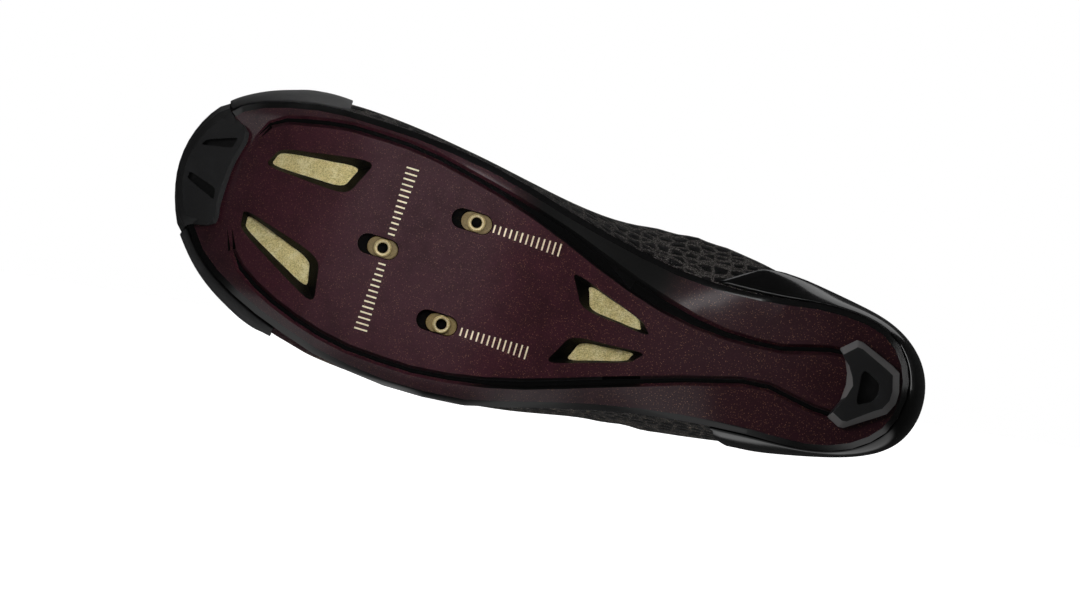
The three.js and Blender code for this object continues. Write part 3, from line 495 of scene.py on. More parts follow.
def subdivided(bm):
    """The same surface after a few levels of subdivision, as a new bmesh."""
    mesh = bpy.data.meshes.new("rough")
    bm.to_mesh(mesh)
    bm.free()
    rough = bpy.data.objects.new("rough", mesh)
    bpy.context.scene.collection.objects.link(rough)
    smooth = rough.modifiers.new("smooth", "SUBSURF")
    smooth.levels = smooth.render_levels = SMOOTH_LEVELS
    graph = bpy.context.evaluated_depsgraph_get()
    dense = bpy.data.meshes.new_from_object(rough.evaluated_get(graph))
    bpy.data.objects.remove(rough)
    bpy.data.meshes.remove(mesh)
    made = bmesh.new()
    made.from_mesh(dense)
    bpy.data.meshes.remove(dense)
    return made


def smooth_copy(node, angle, crease, bend=30.0, shape=60.0):
    """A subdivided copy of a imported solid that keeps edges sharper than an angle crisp."""
    bm = cad_copy(node)
    squared(bm, bend, shape)
    creased(bm, angle, crease)
    return subdivided(bm)


def softened(bm, offset, angle):
    """Bevels every edge that is sharper than the angle, and gives the new faces."""
    return bmesh.ops.bevel(
        bm,
        geom=sharp_edges(bm, angle),
        offset=offset,
        offset_type="OFFSET",
        affect="EDGES",
        segments=2,
        profile=0.5,
        material=-1,
        clamp_overlap=True,
    )["faces"]


def piece(name, bm, materials, nodes=(), flat=False):
    mesh = bpy.data.meshes.new(name)
    bm.to_mesh(mesh)
    bm.free()
    for material in materials:
        mesh.materials.append(material)
    if flat:
        mesh.shade_flat()
    else:
        mesh.shade_smooth()
    made = bpy.data.objects.new(name, mesh)
    bpy.context.scene.collection.objects.link(made)
    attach(made, "root")
    if nodes:
        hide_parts(*nodes)
    return made


def weighted(made):
    """Keeps broad faces flat and turns the shading over the bevels alone."""
    modifier = made.modifiers.new("normals", "WEIGHTED_NORMAL")
    modifier.keep_sharp = True
    modifier.weight = 50


def shoe_spot(vertex):
    return FROM_ROW @ vertex.co


def face_spot(face):
    return FROM_ROW @ face.calc_center_median()


def slant(face):
    """Height of a face's normal in the shoe's frame, from -1 on the underside to 1 on top."""
    return (TURN @ face.normal).normalized().z


def edge_tree(edges, parts):
    """Points along edges, to be searched for the nearest."""
    points = [e.verts[0].co.lerp(e.verts[1].co, i / parts) for e in edges for i in range(parts)]
    tree = KDTree(len(points))
    for i, point in enumerate(points):
        tree.insert(point, i)
    tree.balance()
    return tree


def tree_of(node):
    bm = cad_copy(node)
    tree = BVHTree.FromBMesh(bm)
    bm.free()
    return tree


def beam(x, y, up):
    """Start and direction of a line along the shoe's height, over a point in plan."""
    start = SHOE @ Vector((x, y, BELOW if up else ABOVE))
    way = (SHOE.to_3x3() @ Vector((0.0, 0.0, 1.0 if up else -1.0))).normalized()
    return start, way


def seat(tree, x, y, size, up=False):
    """Matrix of a small shape that lies where such a line first meets a surface, if it does."""
    hit, normal, _, _ = tree.ray_cast(*beam(x, y, up))
    if hit is None:
        return None
    facing = Vector((0.0, 0.0, -1.0 if up else 1.0))
    turn = facing.rotation_difference((TURN @ normal).normalized()).to_matrix().to_4x4()
    return Matrix.Translation(FROM_ROW @ hit) @ turn @ Matrix.Diagonal((*size, 1.0))


def lofted(bm, sections):
    """A closed skin through rings of as many points each, joined point by point."""
    verts = [bm.verts.new(point) for point in sections[0]]
    edges = [bm.edges.new(pair) for pair in zip(verts, verts[1:] + verts[:1])]
    for points in sections[1:] + sections[:1]:
        made = bmesh.ops.extrude_edge_only(bm, edges=edges)["geom"]
        fresh = {part for part in made if isinstance(part, bmesh.types.BMVert)}
        edges = [part for part in made if isinstance(part, bmesh.types.BMEdge)]
        edges = [edge for edge in edges if fresh.issuperset(edge.verts)]
        across = [[edge.other_vert(vertex) for edge in vertex.link_edges] for vertex in verts]
        verts = [next(other for other in others if other in fresh) for others in across]
        for vertex, point in zip(verts, points):
            vertex.co = point
    bmesh.ops.remove_doubles(bm, verts=bm.verts, dist=RING_WELD)
    bmesh.ops.recalc_face_normals(bm, faces=bm.faces)


# Sole


ZONES = {"panel": 0, "wing": 1, "gutter": 2, "vent": 3, "rim": 4, "lip": 5, "wall": 6}

# Vents and cleat slots: both ends of their middle line in plan, and how far their walls reach
HOLES = (
    ((253.0, 15.5), (219.0, 17.5), 10.0),
    ((257.0, -9.0), (225.0, -23.0), 11.0),
    ((134.0, 3.0), (106.0, -5.0), 7.0),
    ((133.0, -21.0), (105.0, -15.5), 8.0),
    ((203.0, -4.5), (211.0, -4.5), 5.0),
    ((173.0, 14.2), (181.0, 14.2), 5.0),
    ((174.5, -24.8), (182.5, -24.8), 5.0),
)
PANEL_MIDDLE = (190.0, -4.0, 0.0)
PANEL_TOE = 256.0
PANEL_BEND = math.radians(28.0)
SLOT_FRONT = 215.0

# Slants that tell the sole's faces apart
FLAT = -0.9
DOWNWARD = -0.8
LEANING = 0.2
UPRIGHT = 0.25
INNER = 0.5

# How far the gutters reach from the panel, which is further on the lateral side, and their depth
GUTTER_REACH = 4.2
WIDE_REACH = 7.0
WIDE_START = 90.0
GUTTER_DEPTH = 0.7
WALL_DEPTH = 0.3
RIM_START = 4.5


def in_hole(spot):
    """Whether a point in plan lies in a vent or a slot."""
    for start, end, reach in HOLES:
        along = Vector(end) - Vector(start)
        share = (spot.xy - Vector(start)).dot(along) / along.length_squared
        nearest = Vector(start) + along * clamped(share, 0.0, 1.0)
        if (spot.xy - nearest).length < reach:
            return True
    return False


def flooded(seed, reach=PANEL_TOE):
    """Faces that join a first one without a sharp bend, up to a reach along the shoe."""
    todo, seen = [seed], {seed}
    while todo:
        for edge in todo.pop().edges:
            if len(edge.link_faces) == 2 and edge.calc_face_angle(0.0) < PANEL_BEND:
                fresh = [face for face in edge.link_faces if face not in seen]
                fresh = [face for face in fresh if face_spot(face).x < reach]
                seen.update(fresh)
                todo.extend(fresh)
    return seen


def zone_faces(bm):
    """Sorts the sole's faces by where and how they lie."""
    tilt = {face: slant(face) for face in bm.faces}
    middle = SHOE @ Vector(PANEL_MIDDLE)
    under = [face for face in bm.faces if tilt[face] < DOWNWARD]
    panel = flooded(min(under, key=lambda face: (face.calc_center_median() - middle).length))
    brinks = [e for face in panel for e in face.edges if e.calc_face_angle(0.0) >= PANEL_BEND]
    tree = edge_tree([e for e in brinks if not in_hole(shoe_spot(e.verts[0]))], parts=8)
    brink = {face: tree.find(face.calc_center_median()) for face in bm.faces}
    near = {face: found[2] / MM for face, found in brink.items()}
    outer = [face for face in bm.faces if abs(tilt[face]) < UPRIGHT and near[face] > RIM_START]
    sides = {vertex for face in outer for vertex in face.verts}
    for face in bm.faces:
        spot = face_spot(face)
        sunk = spot.z - (FROM_ROW @ brink[face][0]).z
        wide = spot.y < 0.0 and spot.x > WIDE_START
        reach = WIDE_REACH if wide else GUTTER_REACH
        holed = in_hole(spot) and (tilt[face] > DOWNWARD or spot.x < SLOT_FRONT)
        if face in panel:
            zone = "panel"
        elif tilt[face] > INNER or holed:
            zone = "vent"
        # Gutter floors take the black gloss finish as painted shade in the grooves
        elif tilt[face] < FLAT and near[face] < reach and sunk > GUTTER_DEPTH:
            zone = "gutter"
        elif tilt[face] < LEANING and near[face] < GUTTER_REACH and sunk > WALL_DEPTH:
            zone = "wall"
        elif tilt[face] > FLAT and not sides.isdisjoint(face.verts):
            zone = "rim"
        else:
            zone = "wing"
        face.material_index = ZONES[zone]


class SHOE_OT_sole(bpy.types.Operator):
    """Moulded sole with its panel, wings, gutters and vents"""

    bl_idname = "shoe.sole"
    bl_label = "Sole"

    def execute(self, context):
        looks = context.scene.shoe_looks
        bm = cad_copy("outsole")
        zone_faces(bm)
        whole_faces(bm)
        self.lips(softened(bm, looks.mould_edge, angle=32.0))
        finishes = [
            carbon("carbon_panel", looks, gloss=0.2),
            # The wing takes the arch's painted shade on its medial side, the walls take it across
            # their whole width
            carbon("carbon_wing", looks, gloss=0.6, arch=0.0),
            # Black gloss painted as shade on the gutters' floors
            gloss_black("gutter_gloss", looks, rough=0.12),
            vent_wall(looks),
            gloss_black("rim_gloss", looks, rough=0.16),
            # Pale edges painted as highlight lines
            highlight_lacquer(looks),
            carbon("carbon_wall", looks, gloss=0.6, arch=-60.0),
        ]
        weighted(piece("sole", bm, finishes, ["outsole"]))
        return {"FINISHED"}

    @staticmethod
    def lips(faces):
        """Gives the edges beside the rim and outside the gutters a finish of their own, whose pale
        base paints a highlight line along them.
        """
        rounded = set(faces)
        for face in faces:
            beside = {other for edge in face.edges for other in edge.link_faces} - rounded
            near = {other.material_index for other in beside}
            if ZONES["rim"] in near or {ZONES["wing"], ZONES["wall"]} == near:
                face.material_index = ZONES["lip"]


# Faces of the insole that slant further down than this are its gold board
BOARD_SLANT = -0.6


class SHOE_OT_insole(bpy.types.Operator):
    """Footbed, with the gold board under it that shows through the vents"""

    bl_idname = "shoe.insole"
    bl_label = "Insole"

    def execute(self, context):
        looks = context.scene.shoe_looks
        bm = cad_copy("insole")
        squared(bm)
        creased(bm, angle=40.0, amount=0.8)
        for face in bm.faces:
            face.material_index = 1 if slant(face) > BOARD_SLANT else 0
        piece("board", subdivided(bm), [felt(looks), footbed(looks)], ["insole"])
        return {"FINISHED"}


# Printed marks for setting the cleats: where the first and the last tick lie and end
MARKS = (
    {"axis": 1, "first": 1.1, "last": 26.1, "inner": (202.3, 204.8), "outer": (200.7, 205.4)},
    {"axis": 1, "first": -10.2, "last": -35.1, "inner": (202.3, 205.0), "outer": (201.7, 206.6)},
    {"axis": 0, "first": 168.4, "last": 143.5, "inner": (12.5, 15.4), "outer": (11.2, 15.9)},
    {"axis": 0, "first": 169.0, "last": 144.2, "inner": (-26.8, -23.8), "outer": (-28.1, -23.3)},
)
TICKS = 13


class SHOE_OT_marks(bpy.types.Operator):
    """Printed ticks beside the cleat slots"""

    bl_idname = "shoe.marks"
    bl_label = "Cleat marks"

    def execute(self, context):
        looks = context.scene.shoe_looks
        tree = tree_of("outsole")
        bm = bmesh.new()
        for row in MARKS:
            for tick in range(TICKS):
                share = tick / (TICKS - 1)
                place = row["first"] + (row["last"] - row["first"]) * share
                ends = [a + (b - a) * share for a, b in zip(row["inner"], row["outer"])]
                self.add_tick(bm, tree, row["axis"], place, ends, looks)
        bmesh.ops.transform(bm, matrix=SHOE, verts=bm.verts)
        piece("cleat_marks", bm, [paint(looks)], flat=True)
        return {"FINISHED"}

    @staticmethod
    def add_tick(bm, tree, axis, place, ends, looks):
        """Puts half of a thin bar's height above the sole, across a row that runs along an axis."""
        middle = sum(ends) / 2
        long, wide = ends[1] - ends[0], looks.tick_width / MM
        high = looks.tick_height / MM * 2
        spot = (middle, place) if axis else (place, middle)
        size = (long, wide, high) if axis else (wide, long, high)
        bmesh.ops.create_cube(bm, size=1.0, matrix=seat(tree, *spot, size, up=True))


# Rings of an insert, from the bore round the outside: radius, reach of the straight sides, height
PLATE_RINGS = ((2.1, 0.0, 4.5), (3.45, 2.25, 4.5), (3.45, 2.25, 2.85), (3.3, 2.25, 2.7))
BOSS_RINGS = (
    (3.25, 0.0, 2.7),
    (3.25, 0.0, 0.7),
    (3.12, 0.0, 0.42),
    (2.9, 0.0, 0.3),
    (2.7, 0.0, 0.3),
    (2.2, 0.0, 0.8),
)
THREAD_RADII = (2.15, 1.95)
THREAD_START = 0.95
THREAD_STEP = 0.25
THREAD_COUNT = 14
THREAD_RINGS = tuple(
    (THREAD_RADII[i % 2], 0.0, THREAD_START + THREAD_STEP * i) for i in range(THREAD_COUNT)
)
RING_POINTS = 48

# Where an insert's finishes part: its bore, the lip round it that is painted pale as a highlight,
# and the plate above the boss
BORE_RADIUS = 2.15
LIP_RADIUS = 2.65
PLATE_HEIGHT = 2.6


class SHOE_OT_inserts(bpy.types.Operator):
    """Brass inserts in the cleat slots"""

    bl_idname = "shoe.inserts"
    bl_label = "Cleat inserts"

    def execute(self, context):
        looks = context.scene.shoe_looks
        finishes = [
            brass("brass_plate", looks.brass_dull, looks.brass_dark, metal=0.05),
            brass("brass_boss", looks.brass_fair, looks.brass, metal=0.25),
            # The lip's pale colour is a painted highlight
            brass("brass_lip", looks.brass_highlight, looks.brass_fair, metal=0.3),
            brass("brass_bore", looks.brass_fair, looks.brass, metal=0.0),
        ]
        for node, centre in INSERTS.items():
            bm = bmesh.new()
            lofted(bm, [self.loop(*row) for row in PLATE_RINGS + BOSS_RINGS + THREAD_RINGS])
            for face in bm.faces:
                face.material_index = self.zone(face.calc_center_median())
            move = Matrix.Translation((centre[0], centre[1], 0.0))
            bmesh.ops.transform(bm, matrix=SHOE @ move, verts=bm.verts)
            name = node.replace("cleat_insert", "insert")
            made = piece(name, bm, finishes, [node])
            made.data.set_sharp_from_angle(angle=math.radians(35.0))
        return {"FINISHED"}

    @staticmethod
    def zone(spot):
        """Number of the finish of a face: plate, boss, lip or bore."""
        radius = spot.xy.length
        if radius < BORE_RADIUS:
            return 3
        if spot.z > PLATE_HEIGHT:
            return 0
        return 2 if radius < LIP_RADIUS else 1

    @staticmethod
    def loop(radius, reach, height):
        """Points of a ring with round ends and straight sides."""
        points = []
        for i in range(RING_POINTS):
            angle = 2 * math.pi * (i + 0.5) / RING_POINTS
            shift = reach if math.cos(angle) > 0 else -reach
            points.append((radius * math.cos(angle) + shift, radius * math.sin(angle), height))
        return points


# Points in plan over the recesses of the pads
PAD_HOLLOWS = {"toe_pad": [(272.2, 15.2), (273.0, -2.1)], "heel_pad": [(20.7, -1.3)]}

# Slants between which a face of the heel pad is its bevel, painted pale as a highlight
BEVEL_HIGHLIGHT_SLANTS = (-0.95, -0.3)


class SHOE_OT_pads(bpy.types.Operator):
    """Rubber pads under the toe and the heel"""

    bl_idname = "shoe.pads"
    bl_label = "Toe and heel pads"

    def execute(self, context):
        looks = context.scene.shoe_looks
        finishes = [
            rubber("pad_rubber", looks.rubber, looks.rubber_worn),
            rubber("pad_hollow", looks.black, looks.rubber),
            rubber("pad_bevel", looks.rubber_bevel_highlight, looks.rubber_pale),
        ]
        low, high = BEVEL_HIGHLIGHT_SLANTS
        for node, hollows in PAD_HOLLOWS.items():
            bm = cad_copy(node)
            whole_faces(bm)
            for face in bm.faces:
                # The heel pad's sloping bevel faces get pale rubber as a painted highlight
                face.material_index = 2 if node == "heel_pad" and low < slant(face) < high else 0
            # Painted shade: the floors and walls of the recesses get near-black rubber
            for place in hollows:
                for face in self.hollow(bm, *place):
                    face.material_index = 1
            softened(bm, looks.mould_edge, angle=28.0)
            weighted(piece(f"{node}_rubber", bm, finishes, [node]))
        return {"FINISHED"}

    @staticmethod
    def hollow(bm, x, y):
        """Floor and walls of the recess over a point in plan."""
        bm.faces.ensure_lookup_table()
        met = BVHTree.FromBMesh(bm).ray_cast(*beam(x, y, True))[2]
        floor = flooded(bm.faces[met], LENGTH)
        return floor | {near for face in floor for edge in face.edges for near in edge.link_faces}


# Upper and what lies on it


class SHOE_OT_guard(bpy.types.Operator):
    """Rubber guard round the toe"""

    bl_idname = "shoe.guard"
    bl_label = "Toe guard"

    def execute(self, context):
        looks = context.scene.shoe_looks
        # The guard's medial side is lightened by a painted sheen
        finish = rubber("guard_rubber", looks.guard, looks.rubber_pale, size=0.9, painted_sheen=0.7)
        shell = smooth_copy("toe_guard", angle=35.0, crease=0.7)
        piece("guard", shell, [finish], ["toe_guard"])
        return {"FINISHED"}


class SHOE_OT_counter(bpy.types.Operator):
    """Polished shell round the heel"""

    bl_idname = "shoe.counter"
    bl_label = "Heel counter"

    def execute(self, context):
        looks = context.scene.shoe_looks
        finish = gloss_black("counter_gloss", looks, rough=0.1)
        shell = smooth_copy("heel_counter", angle=35.0, crease=0.6)
        piece("counter", shell, [finish], ["heel_counter"])
        return {"FINISHED"}


# Corners of the upper in degrees, and the height from which they edge its collar and throat
CORNER = 50.0
COLLAR_HEIGHT = 34.0

# Middle line of the foot's hollow
FOOT_ENDS = (30.0, 240.0)
FOOT_LINE = (-5.0, 24.0)

# How far the creases stay from the collar's edge
CREASE_START = 8.0

# Soft creases of the knit: ends in the shoe's frame, width and depth in millimetres
CREASES = (
    ((222.0, 38.0, 24.0), (205.0, 12.0, 56.0), 4.0, 0.7),
    ((212.0, 39.0, 26.0), (199.0, 20.0, 55.0), 3.5, 0.5),
    ((226.0, -46.0, 24.0), (208.0, -22.0, 50.0), 4.0, 0.7),
    ((214.0, -47.0, 27.0), (202.0, -28.0, 50.0), 3.5, 0.5),
    ((112.0, 30.0, 32.0), (100.0, 29.0, 58.0), 4.5, 0.6),
    ((100.0, 31.0, 30.0), (88.0, 30.0, 55.0), 4.0, 0.5),
    ((110.0, -41.0, 30.0), (98.0, -36.0, 58.0), 4.5, 0.6),
)


# The soft lips beside a crease: their height as a share of its depth, and their place in its widths
LIP_SHARE = 0.55
LIP_PLACE = 1.7
LIP_SHARPNESS = 1.5
CREASE_FADE = (0.05, 0.95)


def crease_depth(spot):
    """How far the creases move a point of the upper outwards: down in a groove and up beside it."""
    total = 0.0
    for start, end, width, depth in CREASES:
        start, end = Vector(start), Vector(end)
        along = end - start
        share = clamped((spot - start).dot(along) / along.length_squared, 0.0, 1.0)
        away = (spot - start - along * share).length / width
        fade = math.sin(math.pi * clamped(share, *CREASE_FADE))
        lip = LIP_SHARE * math.exp(-((away - LIP_PLACE) ** 2) * LIP_SHARPNESS)
        total += depth * fade * (lip - math.exp(-away * away))
    return total


class SHOE_OT_upper(bpy.types.Operator):
    """Knit upper with a bound collar and its lining"""

    bl_idname = "shoe.upper"
    bl_label = "Upper"

    def execute(self, context):
        looks = context.scene.shoe_looks
        bm = cad_copy("upper")
        squared(bm)
        brow = edge_tree([edge for edge in sharp_edges(bm, CORNER) if self.high(edge)], parts=4)
        creased(bm, CORNER, 0.7, keep=lambda edge: not self.high(edge))
        creased(bm, CORNER, 0.25, keep=self.high)
        bm = subdivided(bm)
        self.mark(bm, brow)
        piece("knit_upper", bm, [knit(looks)], ["upper"])
        return {"FINISHED"}

    @staticmethod
    def high(edge):
        return shoe_spot(edge.verts[0]).z >= COLLAR_HEIGHT

    @staticmethod
    def mark(bm, brow):
        """Notes the lining and the distance to the collar's edge, and presses the creases in."""
        inside = bm.verts.layers.float.new("inside")
        edge = bm.verts.layers.float.new("edge")
        bm.normal_update()
        for vertex in bm.verts:
            spot = shoe_spot(vertex)
            normal = (TURN @ vertex.normal).normalized()
            centre = Vector((clamped(spot.x, *FOOT_ENDS), *FOOT_LINE))
            vertex[inside] = 1.0 if normal.dot(spot - centre) < 0.0 else 0.0
            vertex[edge] = brow.find(vertex.co)[2] / MM
        for vertex in bm.verts:
            if vertex[inside] < 0.5 and vertex[edge] > CREASE_START:
                vertex.co += vertex.normal * crease_depth(shoe_spot(vertex)) * MM


class SHOE_OT_tongue(bpy.types.Operator):
    """Tongue under the throat"""

    bl_idname = "shoe.tongue"
    bl_label = "Tongue"

    def execute(self, context):
        looks = context.scene.shoe_looks
        finish = webbing("tongue_mesh", looks)
        cloth = smooth_copy("tongue", angle=60.0, crease=0.2)
        piece("tongue_pad", cloth, [finish], ["tongue"])
        return {"FINISHED"}


# Rows of stitches: half their length, and how far a strap's slanted edge lies in from its end. Half
# sizes of a stitch: its width, its length as a share of the pitch, and its height.
STITCH_SPAN = 18.0
STRAP_SKEW = 3.0
STITCH_WIDTH = 0.35
STITCH_SHARE = 0.36
STITCH_HEIGHT = 0.28


class SHOE_OT_straps(bpy.types.Operator):
    """Two closing straps with their stitching"""

    bl_idname = "shoe.straps"
    bl_label = "Straps"

    def execute(self, context):
        looks = context.scene.shoe_looks
        finish = webbing("strap_webbing", looks)
        sewn = thread(looks)
        for node in ("strap_instep", "strap_forefoot"):
            web = smooth_copy(node, angle=30.0, crease=0.75, bend=40.0, shape=80.0)
            piece(f"{node}_webbing", web, [finish], [node])
            self.stitch(node, sewn, looks)
        return {"FINISHED"}

    @staticmethod
    def stitch(node, finish, looks):
        """Sews a row of stitches beside each long edge of a strap."""
        tree = tree_of(node)
        lengths = [shoe_spot(vertex).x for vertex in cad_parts[node].data.vertices]
        inset, pitch = looks.stitch_inset / MM + STRAP_SKEW, looks.stitch_pitch / MM
        size = (STITCH_WIDTH, pitch * STITCH_SHARE, STITCH_HEIGHT)
        bm = bmesh.new()
        for i in range(int(2 * STITCH_SPAN / pitch)):
            for x in (min(lengths) + inset, max(lengths) - inset):
                place = seat(tree, x, pitch * i - STITCH_SPAN, size)
                if place is not None:
                    bmesh.ops.create_uvsphere(
                        bm, u_segments=8, v_segments=5, radius=1.0, matrix=place
                    )
        bmesh.ops.transform(bm, matrix=SHOE, verts=bm.verts)
        piece(f"{node}_stitches", bm, [finish])


# Stage


# Place and size of each light, and whether gloss mirrors it, in which case it lights nothing else
LIGHTS = {
    "front_light": ((-0.6, -2.8, 0.9), (2.2, 2.2), False),
    "sole_light": ((-0.045, -0.20, 0.08), (0.12, 0.06), False),
    "top_light": ((0.0, -0.5, 1.3), (1.8, 0.16), True),
    "rim_light": ((0.0, 1.2, 1.0), (1.8, 0.5), True),
    "heel_light": ((1.3, 0.1, 0.5), (0.3, 0.9), True),
    "toe_light": ((-1.3, -0.5, 0.7), (0.4, 0.9), True),
}
LIGHT_AIM = Vector((0.0, 0.0, 0.05))

# Where the room brightens, from -1 to 1: towards its back, and in a low band
ROOM_DEPTH = (-0.5, 0.6)
BAND_HEIGHT = -0.75
BAND_WIDTH = (0.25, 0.12)
FLOOR_HALF = 8.0

# The photograph: its width in pixels, millimetres to a pixel, its centre on the sole, and the slant
PHOTO_WIDTH = 1080
PHOTO_SCALE = 0.36314
PHOTO_CENTRE = (144.55, -7.27)
PHOTO_TILT = math.radians(17.0)
SENSOR = 36.0
CLIP = (0.05, 50.0)


class SHOE_OT_stage(bpy.types.Operator):
    """Pale floor, soft light and the camera of the photograph"""

    bl_idname = "shoe.stage"
    bl_label = "Stage"

    def execute(self, context):
        looks = context.scene.shoe_looks
        context.scene.view_settings.view_transform = "Standard"
        self.room(context.scene, looks)
        self.floor(looks)
        for name, settings in LIGHTS.items():
            self.light(name, getattr(looks, name), *settings)
        self.camera(context.scene, looks)
        return {"FINISHED"}

    @staticmethod
    def room(scene, looks):
        """White where the camera sees it, and otherwise dark in front of the sole."""
        scene.world = bpy.data.worlds.new("studio")
        scene.world.use_nodes = True
        nodes = Nodes(scene.world.node_tree)
        _, depth, height = nodes.axes(nodes.node("TexCoord"))
        lit = depth.step(*ROOM_DEPTH, looks.room_front, looks.room_light)
        band = abs(height - BAND_HEIGHT).step(*BAND_WIDTH)
        mirrored = band * looks.low_light + looks.room_front
        seen = nodes.node("LightPath", output="Is Camera Ray")
        gloss = nodes.node("LightPath", output="Is Glossy Ray")
        unseen = gloss * mirrored + (1.0 - gloss) * lit
        sky = nodes.tree.nodes["Background"]
        nodes.feed(sky.inputs["Color"], (1.0, 1.0, 1.0, 1.0))
        nodes.feed(sky.inputs["Strength"], seen + (1.0 - seen) * unseen)

    @staticmethod
    def floor(looks):
        """White paper that glows a little, and that gloss doesn't mirror."""
        paper = {"roughness": 0.8, "specular_ior_level": 0.1}
        finish = Finish("floor_paper", emission_strength=looks.floor_glow, **paper)
        mottle = finish.noise(60.0, 3.0)
        base = finish.mix(looks.floor, looks.floor_light, mottle)
        bm = bmesh.new()
        bmesh.ops.create_grid(bm, x_segments=8, y_segments=8, size=FLOOR_HALF)
        mesh = bpy.data.meshes.new("floor")
        bm.to_mesh(mesh)
        bm.free()
        mesh.materials.append(finish.done(base_color=base, emission_color=base))
        made = bpy.data.objects.new("floor", mesh)
        made.visible_glossy = made.visible_diffuse = False
        bpy.context.scene.collection.objects.link(made)

    @staticmethod
    def light(name, power, place, size, mirrored):
        """Area light aimed at the shoe, which either lights it or is only mirrored by its gloss."""
        lamp = bpy.data.lights.new(name, "AREA")
        lamp.shape = "RECTANGLE"
        lamp.size, lamp.size_y = size
        lamp.energy = power
        made = bpy.data.objects.new(name, lamp)
        made.location = place
        made.rotation_euler = (LIGHT_AIM - Vector(place)).to_track_quat("-Z", "Y").to_euler()
        made.visible_camera = False
        made.visible_glossy = mirrored
        made.visible_diffuse = not mirrored
        bpy.context.scene.collection.objects.link(made)

    @staticmethod
    def camera(scene, looks):
        """Camera square to the sole, turned so that the shoe lies at the photograph's slant."""
        data = bpy.data.cameras.new("camera")
        data.sensor_width = SENSOR
        data.lens = SENSOR * looks.camera_distance / (PHOTO_WIDTH * PHOTO_SCALE * MM)
        data.clip_start, data.clip_end = CLIP
        toe = SHOE.to_3x3() @ Vector((1.0, 0.0, 0.0))
        roll = PHOTO_TILT - math.atan2(toe.z, -toe.x)
        aim = SHOE @ Vector((*PHOTO_CENTRE, 0.0))
        right = Vector((math.cos(roll), 0.0, math.sin(roll)))
        back = Vector((0.0, -1.0, 0.0))
        made = bpy.data.objects.new("camera", data)
        turn = Matrix((right, back.cross(right), back)).transposed().to_4x4()
        made.matrix_world = Matrix.Translation(aim + back * looks.camera_distance) @ turn
        scene.collection.objects.link(made)
        scene.camera = made


# Add-on


def tint(name, words, colour):
    return FloatVectorProperty(
        name=name,
        description=words,
        subtype="COLOR",
        size=3,
        min=0.0,
        max=1.0,
        default=colour,
    )


def length(name, words, value):
    return FloatProperty(name=name, description=words, unit="LENGTH", min=0.0, default=value)


def power(name, words, value):
    return FloatProperty(name=name, description=words, unit="POWER", min=0.0, default=value)


def strength(name, words, value):
    return FloatProperty(name=name, description=words, min=0.0, default=value)


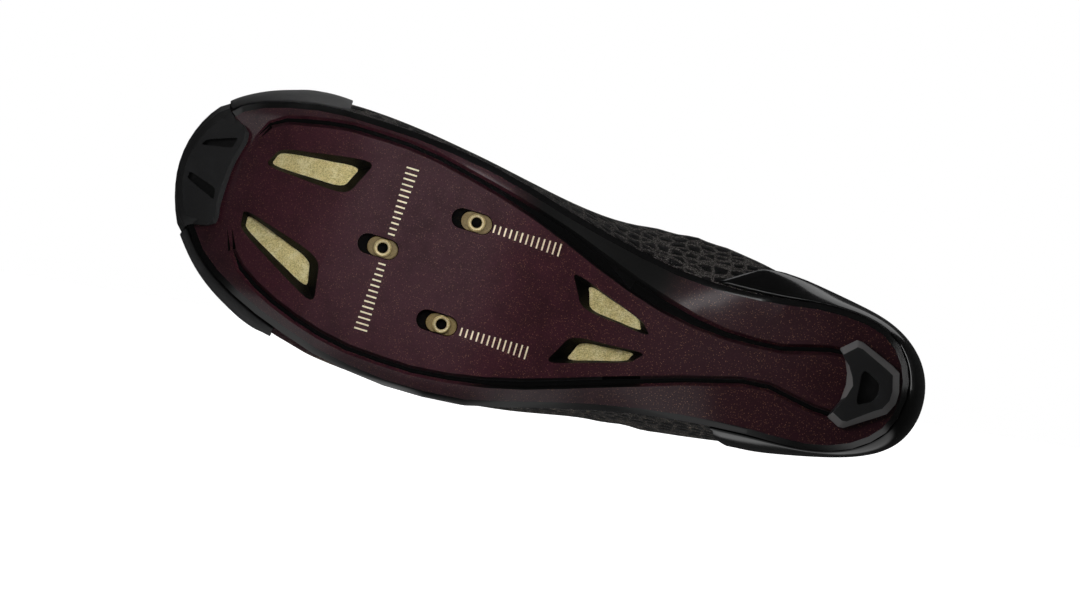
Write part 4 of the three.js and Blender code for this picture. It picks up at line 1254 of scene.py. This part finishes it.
class ShoeLooks(bpy.types.PropertyGroup):
    """Sizes and colours that a user may change"""

    plum: tint("Plum", "Sole, in the middle", (0.031, 0.0078, 0.0130))
    plum_dark: tint("Dark plum", "Sole, in its darker clouds", (0.018, 0.0045, 0.0075))
    plum_light: tint("Light plum", "Grain of the sole", (0.060, 0.018, 0.026))
    copper: tint("Copper", "Flecks in the sole", (0.30, 0.15, 0.09))
    # Pale grey painted on the sole's rounded edges as a highlight line
    edge_highlight: tint("Pale edge", "Rubbed lacquer on the edges of the sole", (0.19, 0.18, 0.185))
    # Also painted shade on the sole's arch and gutters and in the pads' recesses
    black: tint("Black", "Polished plastic", (0.002, 0.002, 0.002))
    black_dust: tint("Dusty black", "Dust on the polished plastic", (0.009, 0.009, 0.010))
    vent_brown: tint("Vent brown", "Crumbly edge inside the vents", (0.012, 0.009, 0.004))
    rubber: tint("Rubber", "Pads", (0.014, 0.014, 0.0145))
    rubber_worn: tint("Worn rubber", "Rubbed places on the rubber", (0.030, 0.031, 0.033))
    # Painted highlight on the heel pad's bevel
    rubber_bevel_highlight: tint("Bevelled rubber", "Bevel of the heel pad", (0.12, 0.115, 0.115))
    # Pale rubber: rubbed specks and patches on the guard, the painted sheen on its medial side, and
    # part of the painted highlight on the heel pad's bevel
    rubber_pale: tint("Pale rubber", "Bevels and dusty places", (0.11, 0.11, 0.11))
    guard: tint("Guard", "Toe guard", (0.017, 0.017, 0.018))
    knit: tint("Knit", "Scales of the knit", (0.008, 0.008, 0.0085))
    knit_dark: tint("Dark knit", "Darker scales of the knit", (0.002, 0.002, 0.002))
    yarn: tint("Yarn", "Yarn between the scales", (0.17, 0.155, 0.145))
    dust: tint("Dust", "Pale flecks of the knit beside the arch", (0.55, 0.53, 0.51))
    plum_yarn: tint("Plum yarn", "Lateral knit behind the toe guard", (0.050, 0.014, 0.020))
    fleck: tint("Fleck", "Pale yarn on the lateral side", (0.42, 0.34, 0.24))
    lining: tint("Lining", "Inside of the upper", (0.018, 0.018, 0.020))
    binding: tint("Binding", "Edge of the collar", (0.008, 0.008, 0.009))
    strap: tint("Strap", "Webbing", (0.007, 0.007, 0.008))
    strap_light: tint("Light strap", "High threads of the webbing", (0.022, 0.022, 0.024))
    thread: tint("Thread", "Stitches", (0.045, 0.045, 0.048))
    brass: tint("Brass", "Cleat inserts", (0.34, 0.24, 0.08))
    brass_fair: tint("Fair brass", "Boss of the inserts", (0.62, 0.50, 0.24))
    # Painted highlight on the lip round the thread
    brass_highlight: tint("Light brass", "Lip round the thread", (0.95, 0.88, 0.66))
    brass_dull: tint("Dull brass", "Plate of the inserts", (0.21, 0.145, 0.045))
    brass_dark: tint("Dark brass", "Pits in the inserts", (0.12, 0.082, 0.024))
    gold: tint("Gold", "Lasting board", (0.85, 0.72, 0.34))
    # Also the painted shade in the board's wrinkles
    gold_dark: tint("Dark gold", "Hollows of the board", (0.36, 0.28, 0.10))
    gold_light: tint("Light gold", "Matted fibres of the board", (0.98, 0.90, 0.56))
    mark: tint("Marks", "Printed ticks", (0.74, 0.66, 0.46))
    mark_rubbed: tint("Rubbed marks", "Rubbed places on the ticks", (0.48, 0.40, 0.27))
    floor: tint("Floor", "Paper under the shoe", (0.93, 0.93, 0.93))
    floor_light: tint("Light floor", "Paper, in its lighter clouds", (0.97, 0.97, 0.97))
    mould_edge: length("Moulded edge", "Rounding of moulded edges", 0.3 * MM)
    tick_width: length("Tick width", "Width of a printed tick", 0.58 * MM)
    tick_height: length("Tick height", "Thickness of the print", 0.06 * MM)
    stitch_inset: length("Stitch inset", "From a strap's edge to its stitches", 2.4 * MM)
    stitch_pitch: length("Stitch pitch", "From stitch to stitch", 2.4 * MM)
    camera_distance: length("Camera distance", "From the sole to the camera", 8.0)
    room_light: strength("Room light", "Brightness of the room behind the sole", 0.9)
    room_front: strength("Room front", "Brightness of the room in front of the sole", 0.02)
    low_light: strength("Low light", "Brightness of the band that gloss mirrors from below", 0.5)
    floor_glow: strength("Floor glow", "Light that the floor gives by itself", 0.9)
    front_light: power("Front light", "Power of the light in front of the sole", 4.0)
    sole_light: power("Sole light", "Power of the small light close to the sole", 0.30)
    top_light: power("Top light", "Power of the strip above", 2.5)
    rim_light: power("Rim light", "Power of the light above and behind, which draws the rims", 1.5)
    heel_light: power("Heel light", "Power of the light behind the heel", 3.0)
    toe_light: power("Toe light", "Power of the light ahead of the toe", 0.8)


PIECES = (
    SHOE_OT_stage,
    SHOE_OT_sole,
    SHOE_OT_insole,
    SHOE_OT_marks,
    SHOE_OT_inserts,
    SHOE_OT_pads,
    SHOE_OT_guard,
    SHOE_OT_counter,
    SHOE_OT_upper,
    SHOE_OT_tongue,
    SHOE_OT_straps,
)


class SHOE_PT_panel(bpy.types.Panel):
    """Lists the shoe's pieces"""

    bl_idname = "SHOE_PT_panel"
    bl_label = "Cycling shoe"
    bl_space_type = "VIEW_3D"
    bl_region_type = "UI"
    bl_category = "Shoe"

    def draw(self, context):
        for operator in PIECES:
            self.layout.operator(operator.bl_idname)


CLASSES = (ShoeLooks, *PIECES, SHOE_PT_panel)


def register():
    for item in CLASSES:
        bpy.utils.register_class(item)
    bpy.types.Scene.shoe_looks = PointerProperty(type=ShoeLooks)


def unregister():
    del bpy.types.Scene.shoe_looks
    for item in reversed(CLASSES):
        bpy.utils.unregister_class(item)


def main():
    register()
    for operator in PIECES:
        group, name = operator.bl_idname.split(".")
        getattr(getattr(bpy.ops, group), name)()


if __name__ == "__main__":
    main()
